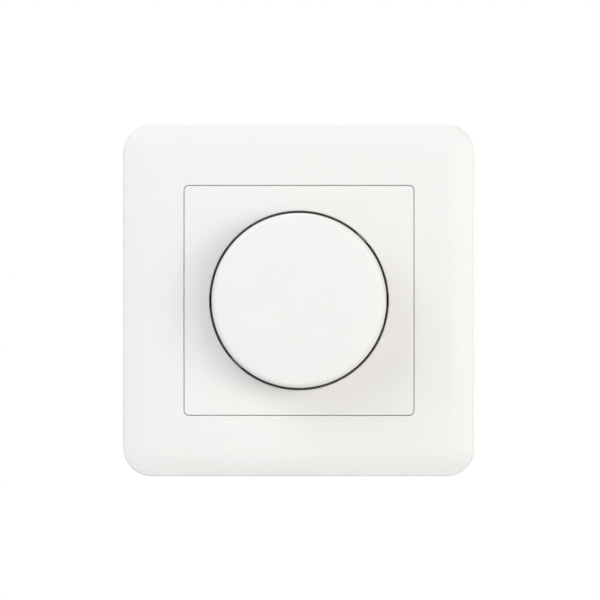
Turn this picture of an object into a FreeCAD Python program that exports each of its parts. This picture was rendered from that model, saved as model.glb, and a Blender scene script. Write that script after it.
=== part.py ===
"""Flush-mounted rotary dimmer switch: cover frame, centre plate and knob over a box insert."""

import FreeCAD
import Part
import Sketcher
import math
import os

Vector = FreeCAD.Vector

# Driving sizes in millimetres, with angles in degrees. The wall surface is level 0, and
# levels grow outwards, towards the person who turns the knob.
SIZES = {
    # Cover frame
    "frame_over_ring": 6.7,
    "frame_corner": 6.9,
    "frame_height": 9.5,
    "frame_wall": 2.0,
    "frame_edge_round": 0.7,
    "crown_inset": 0.2,
    "crown_drop": 1.4,
    "frame_ledge_width": 1.6,
    "frame_ledge_thick": 1.5,
    "frame_collar_wall": 1.4,
    "frame_rib_thick": 1.2,
    "frame_rib_pitch": 18.0,
    "frame_rib_bite": 0.7,
    "frame_lip_round": 0.15,
    # Centre plate
    "plate_border": 5.975,
    "plate_corner": 1.1,
    "plate_gap": 0.15,
    "plate_thick": 2.0,
    "plate_edge_round": 0.15,
    "plate_hole_round": 0.3,
    "plate_collar_wall": 1.3,
    "plate_collar_drop": 1.8,
    "plate_skirt_wall": 1.2,
    "plate_skirt_drop": 3.0,
    "plate_skirt_gap": 0.2,
    "hook_wide": 5.0,
    "hook_thick": 1.3,
    "hook_nose": 0.8,
    "hook_nose_drop": 1.6,
    "hook_corner_gap": 7.65,
    "hook_clearance": 0.1,
    "hook_lead": 0.5,
    "hook_window_gap": 0.15,
    # Rotary knob
    "knob_gap": 0.55,
    "knob_rise": 10.5,
    "knob_sink": 4.0,
    "knob_draft": 1.0,
    "knob_edge_round": 1.3,
    "knob_wall": 1.8,
    "knob_roof": 2.0,
    "knob_boss_diameter": 8.6,
    "knob_boss_drop": 7.6,
    "knob_rib_thick": 1.1,
    "knob_rib_drop": 3.0,
    "knob_socket_depth": 7.0,
    "knob_split_width": 0.8,
    "knob_split_depth": 5.0,
    "push_travel": 1.5,
    "clip_thick": 0.5,
    "clip_height": 3.6,
    "clip_gap_width": 3.0,
    "clip_inset": 0.6,
    "clip_fit": 0.05,
    # Support ring
    "ring_margin": 5.5,
    "ring_corner": 4.0,
    "ring_thick": 1.2,
    "ring_bore_gap": 0.5,
    "ring_recess_gap": 0.2,
    "ring_side_gap": 1.0,
    "box_slot_gap": 2.3,
    "box_slot_width": 3.8,
    "box_slot_length": 6.4,
    "wall_screw_inset": 6.5,
    "wall_screw_hole": 4.2,
    # Insert housing and its cover
    "housing_round_over": 5.0,
    "housing_depth": 20.0,
    "housing_wall": 1.6,
    "housing_floor": 1.6,
    "housing_edge_round": 1.0,
    "board_shelf": 1.0,
    "lid_thick": 2.0,
    "turret_inset": 2.5,
    "turret_wall": 2.0,
    "turret_height": 3.2,
    "turret_roof": 2.0,
    "lid_screw_edge": 4.3,
    "lid_screw_inset": 4.16,
    "lid_screw_boss": 6.0,
    "lid_screw_diameter": 2.6,
    "lid_screw_length": 9.0,
    "lid_screw_head": 4.6,
    "lid_screw_head_high": 1.5,
    "lid_screw_hole_gap": 0.2,
    "lid_screw_fit": 0.05,
    "cross_long": 2.6,
    "cross_wide": 0.7,
    "cross_deep": 0.9,
    "vent_wide": 1.4,
    "vent_long": 11.0,
    "vent_pitch": 3.6,
    "vent_lift": 2.5,
    # Potentiometer, push switch and shaft
    "pot_side": 16.0,
    "pot_depth": 7.2,
    "pot_front_wall": 1.8,
    "pot_bore": 13.0,
    "pot_stop_bore": 14.6,
    "pot_corner": 1.0,
    "pot_stop_swing": 292.0,
    "wafer_thick": 1.0,
    "wafer_hole": 5.4,
    "neck_diameter": 8.0,
    "neck_rise": 5.3,
    "neck_seat_diameter": 6.0,
    "neck_fit": 0.05,
    "neck_nut_across": 11.0,
    "neck_nut_high": 2.0,
    "neck_washer_diameter": 12.0,
    "neck_washer_thick": 0.5,
    "neck_thread_clearance": 0.1,
    "neck_chamfer": 0.4,
    "shaft_diameter": 4.0,
    "shaft_fit": 0.05,
    "shaft_flat": 1.2,
    "shaft_flat_start": 10.0,
    "shaft_top_gap": 0.3,
    "spigot_diameter": 2.4,
    "spigot_length": 1.2,
    "shaft_ring_diameter": 5.0,
    "shaft_ring_thick": 0.6,
    "rotor_clearance": 0.2,
    "rotor_thick": 2.4,
    "rotor_side_gap": 0.2,
    "rotor_hub": 6.6,
    "rotor_lug_reach": 0.5,
    "rotor_lug_angle": 17.0,
    "wiper_thick": 0.3,
    "wiper_wide": 10.6,
    "wiper_tip": 1.2,
    "wiper_lift": 0.1,
    "switch_side": 14.0,
    "switch_depth": 6.0,
    "switch_bore": 6.6,
    "switch_floor": 1.0,
    "switch_corner": 0.8,
    "plunger_diameter": 6.0,
    "plunger_collar": 1.6,
    "plunger_stem": 2.6,
    "plunger_stem_long": 1.0,
    "plunger_top_gap": 0.3,
    "plunger_cup_depth": 1.3,
    "spring_wire": 0.5,
    "spring_diameter": 4.9,
    "spring_turns": 3.0,
    "spring_end_gap": 0.05,
    "rest_turn": 135.0,
    # Circuit board and what stands on it
    "board_thick": 1.6,
    "board_gap": 0.3,
    "choke_outer": 11.6,
    "choke_inner": 6.0,
    "choke_high": 4.4,
    "choke_wire": 0.6,
    "choke_wire_gap": 0.05,
    "choke_stand_off": 0.8,
    "choke_switch_gap": 0.6,
    "choke_wall_gap": 1.5,
    "film_long": 11.0,
    "film_wide": 5.2,
    "film_high": 8.6,
    "film_choke_gap": 2.6,
    "film_switch_gap": 1.7,
    "can_diameter": 6.3,
    "can_high": 8.0,
    "can_fuse_gap": 0.75,
    "can_film_gap": 0.95,
    "fuse_diameter": 3.2,
    "fuse_long": 6.6,
    "fuse_choke_gap": 0.9,
    "fuse_wall_gap": 1.7,
    "fuse_stand_off": 0.4,
    "fuse_foot": 1.0,
    "chip_long": 5.0,
    "chip_wide": 4.0,
    "chip_high": 1.5,
    "chip_switch_gap": 4.0,
    "transistor_wide": 10.0,
    "transistor_long": 9.0,
    "transistor_high": 4.4,
    "transistor_tab_long": 3.0,
    "transistor_tab_thick": 1.3,
    "transistor_lead": 0.8,
    "transistor_lead_pitch": 2.5,
    "transistor_lead_bite": 1.0,
    "transistor_gap": 1.4,
    "sink_side_gap": 6.4,
    "sink_top_gap": 0.9,
    "sink_long": 12.0,
    "sink_thick": 1.5,
    "sink_gap": 0.3,
    # Trimmer for the lowest light level
    "trimmer_switch_gap": 1.6,
    "trimmer_wall_gap": 3.3,
    "trimmer_side": 6.0,
    "trimmer_high": 5.0,
    "trimmer_spindle": 3.4,
    "trimmer_stem": 2.0,
    "trimmer_stem_depth": 1.4,
    "trimmer_fit": 0.1,
    "trimmer_gap": 0.2,
    "trimmer_recess": 0.2,
    "trimmer_slot": 0.8,
    "trimmer_slot_deep": 0.9,
    # Terminals
    "terminal_pitch": 6.8,
    "terminal_wide": 5.4,
    "terminal_long": 6.6,
    "terminal_end_gap": 0.3,
    "terminal_floor_gap": 0.3,
    "terminal_wire_hole": 3.4,
    "terminal_wire_level": 2.9,
    "terminal_partition": 0.8,
    "terminal_screw": 3.0,
    "terminal_screw_head": 4.4,
    "terminal_screw_recess": 0.3,
    "terminal_screw_reach": 3.0,
    "terminal_screw_fit": 0.05,
    "terminal_hole_gap": 0.1,
    "terminal_access": 5.0,
    "terminal_funnel": 4.8,
    "terminal_funnel_deep": 0.8,
    "terminal_slot": 0.8,
    # Spreading claws
    "claw_standoff": 4.1,
    "claw_plate_gap": 1.25,
    "claw_screw": 3.0,
    "claw_screw_long": 20.0,
    "claw_screw_chamfer": 0.5,
    "claw_ball": 5.6,
    "claw_ball_lift": 0.05,
    "claw_head_flat": 0.3,
    "claw_seat_hole": 4.4,
    "claw_thick": 1.2,
    "claw_wide": 9.0,
    "claw_inner": 3.3,
    "claw_outer": 3.2,
    "claw_front": 7.0,
    "claw_tail": 18.0,
    "claw_hole_gap": 0.1,
    "claw_tooth": 1.5,
    "claw_tooth_wide": 2.6,
    "claw_tooth_tip": 0.8,
    "claw_bend": 1.5,
    "ramp_groove": 4.4,
    "ramp_toe_out": 0.5,
    "ramp_toe_level": 17.0,
    "ramp_crest_out": 2.9,
    "ramp_crest_level": 11.2,
    "ramp_end_level": 10.4,
    "ramp_foot": 2.0,
    # How far a feature runs into the one that it joins
    "merge": 0.5,
}

# The housing is as wide and as high as its contents need. The claws stand beside it, and the
# plate's opening, the ring and the frame follow outwards from the claws.
TRIMMER_RIGHT = "(-Dims.switch_side / 2 - Dims.trimmer_switch_gap - Dims.trimmer_side / 2)"
HOUSING_WIDE = (f"(2 * (-{TRIMMER_RIGHT} + Dims.trimmer_side / 2 + Dims.trimmer_wall_gap"
                " + Dims.housing_wall))")
CHOKE_REACH = "(Dims.choke_outer / 2 + Dims.choke_wire)"
CHOKE_UP = f"(-Dims.switch_side / 2 - Dims.choke_switch_gap - {CHOKE_REACH})"
HOUSING_HIGH = f"(2 * (-{CHOKE_UP} + {CHOKE_REACH} + Dims.choke_wall_gap + Dims.housing_wall))"
HOUSING_ROUND = f"({HOUSING_HIGH} + Dims.housing_round_over)"
TURRET = f"({HOUSING_WIDE} - 2 * Dims.turret_inset)"
RING_BORE = f"({TURRET} + 2 * Dims.ring_bore_gap)"
CLAW_REACH = f"({HOUSING_WIDE} / 2 + Dims.claw_standoff)"
BOX_SPACING = (f"(2 * ({CLAW_REACH} + Dims.claw_seat_hole / 2 + Dims.box_slot_gap"
               " + Dims.box_slot_width / 2))")
RING_SIDE = f"({BOX_SPACING} + 2 * Dims.ring_margin)"
WALL_SPACING = f"({RING_SIDE} - 2 * Dims.wall_screw_inset)"
FRAME_SIDE = f"({RING_SIDE} + 2 * Dims.frame_over_ring)"
OPENING = f"(2 * ({CLAW_REACH} + Dims.claw_ball / 2 + Dims.claw_plate_gap))"
PLATE_SIDE = f"({OPENING} - 2 * Dims.plate_gap)"
KNOB_HOLE = f"({PLATE_SIDE} - 2 * Dims.plate_border)"
KNOB_DIAMETER = f"({KNOB_HOLE} - 2 * Dims.knob_gap)"

# Levels and outlines that follow from the driving sizes.
PLATE_BACK = "(Dims.frame_height - Dims.plate_thick)"
OPENING_CORNER = "(Dims.plate_corner + Dims.plate_gap)"
LEDGE_OPENING = f"({OPENING} - 2 * Dims.frame_ledge_width)"
SKIRT_SIDE = f"({LEDGE_OPENING} - 2 * Dims.plate_skirt_gap)"
HOOK_OUT = f"({SKIRT_SIDE} / 2 - Dims.plate_skirt_gap)"
HOOK_IN = f"({HOOK_OUT} - Dims.hook_thick)"
HOOK_OFFSET = f"({HOOK_OUT} - Dims.hook_corner_gap)"
CROWN_START = f"({FRAME_SIDE} / 2 - Dims.frame_corner + Dims.crown_inset)"
CROWN_WIDTH = "(Dims.frame_corner - Dims.crown_inset)"
CROWN_RADIUS = f"(({CROWN_WIDTH}^2 + Dims.crown_drop^2) / (2 * Dims.crown_drop))"
KNOB_TOP = "(Dims.frame_height + Dims.knob_rise)"
KNOB_FOOT = "(Dims.frame_height - Dims.knob_sink)"
KNOB_CEILING = f"({KNOB_TOP} - Dims.knob_roof)"
KNOB_BOSS_END = f"({KNOB_CEILING} - Dims.knob_boss_drop)"
POT_FRONT = "(Dims.turret_height - Dims.turret_roof)"
POT_CEILING = f"({POT_FRONT} - Dims.pot_front_wall)"
POT_BACK = f"({POT_FRONT} - Dims.pot_depth)"
WAFER_TOP = f"({POT_BACK} + Dims.wafer_thick)"
BOARD_TOP = f"({POT_BACK} - Dims.switch_depth)"
BOARD_BACK = f"({BOARD_TOP} - Dims.board_thick)"
RIM = "(-Dims.lid_thick)"
HOUSING_BACK = f"({RIM} - Dims.housing_depth)"
HOUSING_FLOOR = f"({HOUSING_BACK} + Dims.housing_floor)"
INNER_LOW = f"(-{HOUSING_HIGH} / 2 + Dims.housing_wall + Dims.board_shelf)"
TERMINAL_MIDDLE = f"({INNER_LOW} + Dims.terminal_end_gap + Dims.terminal_long / 2)"
TERMINAL_BACK = f"({HOUSING_FLOOR} + Dims.terminal_floor_gap)"
WIRE_LEVEL = f"({BOARD_BACK} - Dims.terminal_wire_level)"
TERMINAL_PLACES = "-Dims.terminal_pitch", "0", "Dims.terminal_pitch"
NECK_TOP = "(Dims.turret_height + Dims.neck_rise)"
SHAFT_BORE = "(Dims.shaft_diameter + 2 * Dims.shaft_fit)"
SHAFT_TOP = f"({KNOB_BOSS_END} + Dims.knob_socket_depth - Dims.shaft_top_gap)"
SHAFT_FOOT = f"({POT_BACK} - Dims.plunger_top_gap)"
SCREW_HOLE = "(Dims.lid_screw_diameter + 2 * Dims.lid_screw_hole_gap)"
LID_RIGHT = f"({HOUSING_WIDE} / 2 - Dims.lid_screw_inset)"
LID_UP = f"sqrt(({HOUSING_ROUND} / 2 - Dims.lid_screw_edge)^2 - {LID_RIGHT}^2)"
CHOKE_RIGHT = f"({HOUSING_WIDE} / 2 - Dims.housing_wall - Dims.choke_wall_gap - {CHOKE_REACH})"
FILM_RIGHT = f"({CHOKE_RIGHT} - {CHOKE_REACH} - Dims.film_choke_gap - Dims.film_long / 2)"
FILM_UP = "(-Dims.switch_side / 2 - Dims.film_switch_gap - Dims.film_wide / 2)"
FUSE_RIGHT = f"({CHOKE_RIGHT} - {CHOKE_REACH} - Dims.fuse_choke_gap - Dims.fuse_long / 2)"
FUSE_UP = (f"(-{HOUSING_HIGH} / 2 + Dims.housing_wall + Dims.fuse_wall_gap"
           " + Dims.fuse_diameter / 2)")
CAN_RIGHT = (f"({FUSE_RIGHT} - Dims.fuse_long / 2 - Dims.can_fuse_gap"
             " - Dims.can_diameter / 2)")
CAN_UP = f"({FILM_UP} - Dims.film_wide / 2 - Dims.can_film_gap - Dims.can_diameter / 2)"
CHIP_RIGHT = "(Dims.switch_side / 2 + Dims.chip_switch_gap + Dims.chip_wide / 2)"
SINK_WIDE = f"({HOUSING_WIDE} - 2 * Dims.housing_wall - 2 * Dims.sink_side_gap)"
TRANSISTOR_UP = (f"({HOUSING_HIGH} / 2 - Dims.housing_wall - Dims.sink_top_gap"
                 " - Dims.sink_long)")
TRANSISTOR_SPACING = "(Dims.transistor_wide + Dims.transistor_gap)"
VENT_UP = f"({TRANSISTOR_UP} + Dims.vent_lift)"
CLAW_PIVOT = ("(Dims.ring_thick + sqrt(Dims.claw_ball^2 - Dims.claw_seat_hole^2) / 2"
              " + Dims.claw_ball_lift)")

# A local frame has +Z out of the wall. The part's own frame has +Z up and the front at -Y.
TO_WALL = FreeCAD.Rotation(Vector(1, 0, 0), 90)

document = FreeCAD.newDocument("RotaryDimmer")
sheet = document.addObject("Spreadsheet::Sheet", "Dims")
for row, (alias, size) in enumerate(SIZES.items(), start=1):
    sheet.set(f"A{row}", alias.replace("_", " "))
    sheet.set(f"B{row}", str(size))
    sheet.setAlias(f"B{row}", alias)
document.recompute()

bodies = []


def value(rule):
    """The number that a rule over the sheet gives now."""
    return float(sheet.evalExpression(rule.replace("Dims.", "")))


def bind(thing, **rules):
    """Ties properties of an object to rules over the sheet."""
    for name, rule in rules.items():
        thing.setExpression(name, rule)


def new_body(label, turn=0.0, right=None, up=None):
    """A body whose label names its file. It is built about its own axis, which stands so far
    right of the knob's axis and above it, and is turned about that axis by so many degrees."""
    body = document.addObject("PartDesign::Body", "".join(w.title() for w in label.split("_")))
    body.Label = label
    about_axis = FreeCAD.Rotation(Vector(0, 0, 1), turn)
    body.Placement = FreeCAD.Placement(Vector(0, 0, 0), TO_WALL.multiply(about_axis))
    for axis, rule in (("x", right), ("z", up)):
        if rule is not None:
            body.setExpression(f"Placement.Base.{axis}", rule)
    bodies.append(body)
    return body


def datum(body, role):
    """One of the body's own origin planes or axes."""
    return next(f for f in body.Origin.OriginFeatures if f.Role == role)


def new_sketch(body, name, plane="XY", level="0"):
    """A sketch on one of the body's planes, moved along that plane's normal to a level."""
    sketch = body.newObject("Sketcher::SketchObject", name)
    sketch.AttachmentSupport = [(datum(body, f"{plane}_Plane"), "")]
    sketch.MapMode = "FlatFace"
    if level != "0":
        sketch.setExpression("AttachmentOffset.Base.z", level)
    return sketch


def constrain(sketch, kind, *where, rule=None):
    """A constraint, whose size follows a rule if one is given."""
    if rule is None:
        return sketch.addConstraint(Sketcher.Constraint(kind, *where))
    index = sketch.addConstraint(Sketcher.Constraint(kind, *where, value(rule)))
    sketch.setExpression(f"Constraints[{index}]", rule)
    return index


def place(sketch, geometry, point, x=None, y=None):
    """Holds a point of the sketch at x, at y, or at both, each given as a rule."""
    for kind, axis, rule in (("DistanceX", -2, x), ("DistanceY", -1, y)):
        if rule == "0":
            constrain(sketch, "PointOnObject", geometry, point, axis)
        elif rule is not None:
            constrain(sketch, kind, -1, 1, geometry, point, rule=rule)


def circle(sketch, diameter, x="0", y="0"):
    """A circle of a given diameter about a point."""
    centre = Vector(value(x), value(y), 0)
    index = sketch.addGeometry(Part.Circle(centre, Vector(0, 0, 1), value(diameter) / 2))
    constrain(sketch, "Diameter", index, rule=diameter)
    place(sketch, index, 3, x, y)


def rounded_rectangle(sketch, wide, high, corner, x="0", y="0"):
    """A rectangle with four equal rounded corners about a point."""
    half_x, half_y, r = value(wide) / 2, value(high) / 2, value(corner)
    mid_x, mid_y = value(x), value(y)
    first = sketch.GeometryCount
    for side in range(4):
        turn = side * math.pi / 2
        reach, half = (half_y, half_x) if side % 2 == 0 else (half_x, half_y)

        def at(u, v):
            return Vector(mid_x + u * math.cos(turn) - v * math.sin(turn),
                          mid_y + u * math.sin(turn) + v * math.cos(turn), 0)

        sketch.addGeometry(Part.LineSegment(at(r - half, -reach), at(half - r, -reach)))
        arc = Part.Circle(at(half - r, r - reach), Vector(0, 0, 1), r)
        sketch.addGeometry(Part.ArcOfCircle(arc, turn - math.pi / 2, turn))
    for side in range(4):
        line = first + 2 * side
        constrain(sketch, "Tangent", line, 2, line + 1, 1)
        constrain(sketch, "Tangent", line + 1, 2, first + (2 * side + 2) % 8, 1)
        constrain(sketch, "Horizontal" if side % 2 == 0 else "Vertical", line)
        if side:
            constrain(sketch, "Equal", first + 1, line + 1)
    constrain(sketch, "Radius", first + 1, rule=corner)
    constrain(sketch, "DistanceY", -1, 1, first, 1, rule=f"{y} - {high} / 2")
    constrain(sketch, "DistanceX", -1, 1, first + 2, 1, rule=f"{x} + {wide} / 2")
    constrain(sketch, "DistanceY", -1, 1, first + 4, 1, rule=f"{y} + {high} / 2")
    constrain(sketch, "DistanceX", -1, 1, first + 6, 1, rule=f"{x} - {wide} / 2")


def slot(sketch, long, wide, x="0", y="0", upright=False):
    """A round-ended slot about a point, lying along the sketch's X, or upright along its Y."""
    half, r = (value(long) - value(wide)) / 2, value(wide) / 2
    along, across = (Vector(0, 1, 0), Vector(-1, 0, 0)) if upright else (Vector(1, 0, 0), Vector(0, 1, 0))
    middle = Vector(value(x), value(y), 0)
    start = math.pi / 2 if upright else 0.0
    first = sketch.GeometryCount
    for sign, turn in ((1, 0.0), (-1, math.pi)):
        end = middle + along * (sign * half)
        side = middle - across * (sign * r)
        line = Part.LineSegment(side - along * (sign * half), side + along * (sign * half))
        sketch.addGeometry(line)
        arc = Part.Circle(end, Vector(0, 0, 1), r)
        sketch.addGeometry(Part.ArcOfCircle(arc, start + turn - math.pi / 2, start + turn + math.pi / 2))
    for step in range(4):
        constrain(sketch, "Tangent", first + step, 2, first + (step + 1) % 4, 1)
    for line in (first, first + 2):
        constrain(sketch, "Vertical" if upright else "Horizontal", line)
    constrain(sketch, "Radius", first + 1, rule=f"{wide} / 2")
    reach = f"({long} - {wide}) / 2"
    if upright:
        place(sketch, first + 1, 3, x, f"{y} + {reach}")
        constrain(sketch, "DistanceY", -1, 1, first + 3, 3, rule=f"{y} - {reach}")
    else:
        place(sketch, first + 1, 3, f"{x} + {reach}", y)
        constrain(sketch, "DistanceX", -1, 1, first + 3, 3, rule=f"{x} - {reach}")


def flatted_round(sketch, diameter, wide, high):
    """A circle about the origin, cut by two upright and two level flats."""
    r, half_x, half_y = value(diameter) / 2, value(wide) / 2, value(high) / 2
    flat_x, flat_y = math.sqrt(r * r - half_y * half_y), math.sqrt(r * r - half_x * half_x)
    ends = [(-flat_x, -half_y), (flat_x, -half_y), (half_x, -flat_y), (half_x, flat_y),
            (flat_x, half_y), (-flat_x, half_y), (-half_x, flat_y), (-half_x, -flat_y)]
    first = sketch.GeometryCount
    for step in range(8):
        a, b = ends[step], ends[(step + 1) % 8]
        if step % 2 == 0:
            sketch.addGeometry(Part.LineSegment(Vector(*a, 0), Vector(*b, 0)))
        else:
            angles = math.atan2(a[1], a[0]), math.atan2(b[1], b[0])
            arc = Part.Circle(Vector(0, 0, 0), Vector(0, 0, 1), r)
            sketch.addGeometry(Part.ArcOfCircle(arc, *angles))
    for step in range(8):
        constrain(sketch, "Coincident", first + step, 2, first + (step + 1) % 8, 1)
    for arc in range(first + 1, first + 8, 2):
        constrain(sketch, "Coincident", arc, 3, -1, 1)
    constrain(sketch, "Radius", first + 1, rule=f"{diameter} / 2")
    for step, kind, rule in ((0, "Horizontal", f"-{high} / 2"), (2, "Vertical", f"{wide} / 2"),
                             (4, "Horizontal", f"{high} / 2"), (6, "Vertical", f"-{wide} / 2")):
        constrain(sketch, kind, first + step)
        distance = "DistanceY" if kind == "Horizontal" else "DistanceX"
        constrain(sketch, distance, -1, 1, first + step, 1, rule=rule)
    for arc in (first + 3, first + 5, first + 7):
        constrain(sketch, "Equal", first + 1, arc)


def flatted_bore(sketch, diameter, flat):
    """A circle about the origin with one level flat above its centre, as on a D-shaped shaft."""
    r, level = value(diameter) / 2, value(flat)
    half = math.sqrt(r * r - level * level)
    start, end = math.atan2(level, -half), math.atan2(level, half) + 2 * math.pi
    first = sketch.GeometryCount
    sketch.addGeometry(Part.ArcOfCircle(Part.Circle(Vector(0, 0, 0), Vector(0, 0, 1), r), start, end))
    sketch.addGeometry(Part.LineSegment(Vector(half, level, 0), Vector(-half, level, 0)))
    constrain(sketch, "Coincident", first, 2, first + 1, 1)
    constrain(sketch, "Coincident", first + 1, 2, first, 1)
    constrain(sketch, "Coincident", first, 3, -1, 1)
    constrain(sketch, "Diameter", first, rule=diameter)
    constrain(sketch, "Horizontal", first + 1)
    constrain(sketch, "DistanceY", -1, 1, first + 1, 1, rule=flat)


def outline(sketch, corners, arcs=None):
    """A closed outline through corners, each a pair of rules. An entry of arcs, keyed by the
    corner where the arc starts, gives the rules for its centre; the arc runs clockwise."""
    arcs = arcs or {}
    points = [Vector(value(x), value(y), 0) for x, y in corners]
    first, count = sketch.GeometryCount, len(points)
    for step, (a, b) in enumerate(zip(points, points[1:] + points[:1])):
        if step in arcs:
            centre = Vector(*[value(rule) for rule in arcs[step]], 0)
            angles = [math.atan2(p.y - centre.y, p.x - centre.x) for p in (b, a)]
            arc = Part.Circle(centre, Vector(0, 0, 1), (a - centre).Length)
            sketch.addGeometry(Part.ArcOfCircle(arc, *angles))
        else:
            sketch.addGeometry(Part.LineSegment(a, b))
    starts = [2 if step in arcs else 1 for step in range(count)]
    for step in range(count):
        follows = (step + 1) % count
        constrain(sketch, "Coincident", first + step, 3 - starts[step], first + follows, starts[follows])
    for step, (x, y) in enumerate(corners):
        place(sketch, first + step, starts[step], x, y)
    for step, (x, _) in arcs.items():
        place(sketch, first + step, 3, x)


def rectangle(sketch, wide, high, x="0", y="0"):
    """A sharp-cornered rectangle about a point."""
    left, right = f"{x} - {wide} / 2", f"{x} + {wide} / 2"
    low, top = f"{y} - {high} / 2", f"{y} + {high} / 2"
    outline(sketch, [(left, low), (right, low), (right, top), (left, top)])


def pad(body, name, sketch, length, back=False, midplane=False):
    """Adds a sketch's area, pushed out along its normal, or back against it."""
    feature = body.newObject("PartDesign::Pad", name)
    feature.Profile = sketch
    feature.Reversed = back
    feature.Midplane = midplane
    bind(feature, Length=length)
    return feature


def pocket(body, name, sketch, length=None, back=False, midplane=False):
    """Cuts a sketch's area against its normal, or along it if back is set; through all with no length."""
    feature = body.newObject("PartDesign::Pocket", name)
    feature.Profile = sketch
    feature.Reversed = back
    feature.Midplane = midplane
    if length is None:
        feature.Type = "ThroughAll"
    else:
        bind(feature, Length=length)
    return feature


def revolve(body, name, sketch, angle="360", cut=False):
    """Turns a sketch on an upright plane about the body's axis, evenly to both sides."""
    feature = body.newObject("PartDesign::Groove" if cut else "PartDesign::Revolution", name)
    feature.Profile = sketch
    feature.ReferenceAxis = (sketch, ["V_Axis"])
    feature.Midplane = True
    bind(feature, Angle=angle)
    return feature


def round_edges(body, name, feature, radius, wanted):
    """Rounds the edges of a feature that the test picks."""
    document.recompute()
    names = [f"Edge{n}" for n, edge in enumerate(feature.Shape.Edges, start=1) if wanted(edge)]
    fillet = body.newObject("PartDesign::Fillet", name)
    fillet.Base = (feature, names)
    bind(fillet, Radius=radius)
    return fillet


def at_level(level, reach=None, within=1e-4):
    """A test for edges that lie at a level, and at most so far from the axis if a reach is given."""
    height, limit = value(level), None if reach is None else value(reach) + within

    def test(edge):
        box = edge.BoundBox
        if abs(box.ZMin - height) > within or abs(box.ZMax - height) > within:
            return False
        furthest = max(abs(box.XMin), abs(box.XMax), abs(box.YMin), abs(box.YMax))
        return limit is None or furthest <= limit

    return test


def around(body, name, originals, count):
    """Repeats features evenly round the body's axis."""
    pattern = body.newObject("PartDesign::PolarPattern", name)
    pattern.Originals = originals
    pattern.Axis = (datum(body, "Z_Axis"), [""])
    pattern.Angle = 360
    pattern.Occurrences = count
    body.Tip = pattern
    return pattern


def in_row(body, name, originals, count, pitch):
    """Repeats features along the body's X."""
    pattern = body.newObject("PartDesign::LinearPattern", name)
    pattern.Originals = originals
    pattern.Direction = (datum(body, "X_Axis"), [""])
    pattern.Occurrences = count
    bind(pattern, Length=f"{pitch} * {count - 1}")
    body.Tip = pattern
    return pattern


def box(body, name, size, x, y, level, cut=False):
    """A block of a given size, about x and y, standing on a level."""
    kind = "PartDesign::SubtractiveBox" if cut else "PartDesign::AdditiveBox"
    block = body.newObject(kind, name)
    bind(block, Length=size[0], Width=size[1], Height=size[2])
    corner = {"x": f"{x} - {size[0]} / 2", "y": f"{y} - {size[1]} / 2", "z": level}
    for axis, rule in corner.items():
        block.setExpression(f"Placement.Base.{axis}", rule)
    return block


def cylinder(body, name, diameter, height, x="0", y="0", level="0", cut=False, along="Z"):
    """A cylinder that starts at x, y and level and runs along one of the body's axes."""
    kind = "PartDesign::SubtractiveCylinder" if cut else "PartDesign::AdditiveCylinder"
    rod = body.newObject(kind, name)
    turns = {"Z": FreeCAD.Rotation(), "X": FreeCAD.Rotation(Vector(0, 1, 0), 90),
             "Y": FreeCAD.Rotation(Vector(1, 0, 0), -90)}
    rod.Placement = FreeCAD.Placement(Vector(0, 0, 0), turns[along])
    bind(rod, Radius=f"{diameter} / 2", Height=height)
    for axis, rule in {"x": x, "y": y, "z": level}.items():
        rod.setExpression(f"Placement.Base.{axis}", rule)
    return rod


def cross_recess(body, level, x="0", y="0"):
    """The cross recess in a screw head whose top is at a level."""
    sides = ("Dims.cross_long", "Dims.cross_wide"), ("Dims.cross_wide", "Dims.cross_long")
    bottom = f"({level} - Dims.cross_deep)"
    return [box(body, f"Cross{number}", (*side, "Dims.cross_deep"), x, y, bottom, cut=True)
            for number, side in enumerate(sides)]


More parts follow.
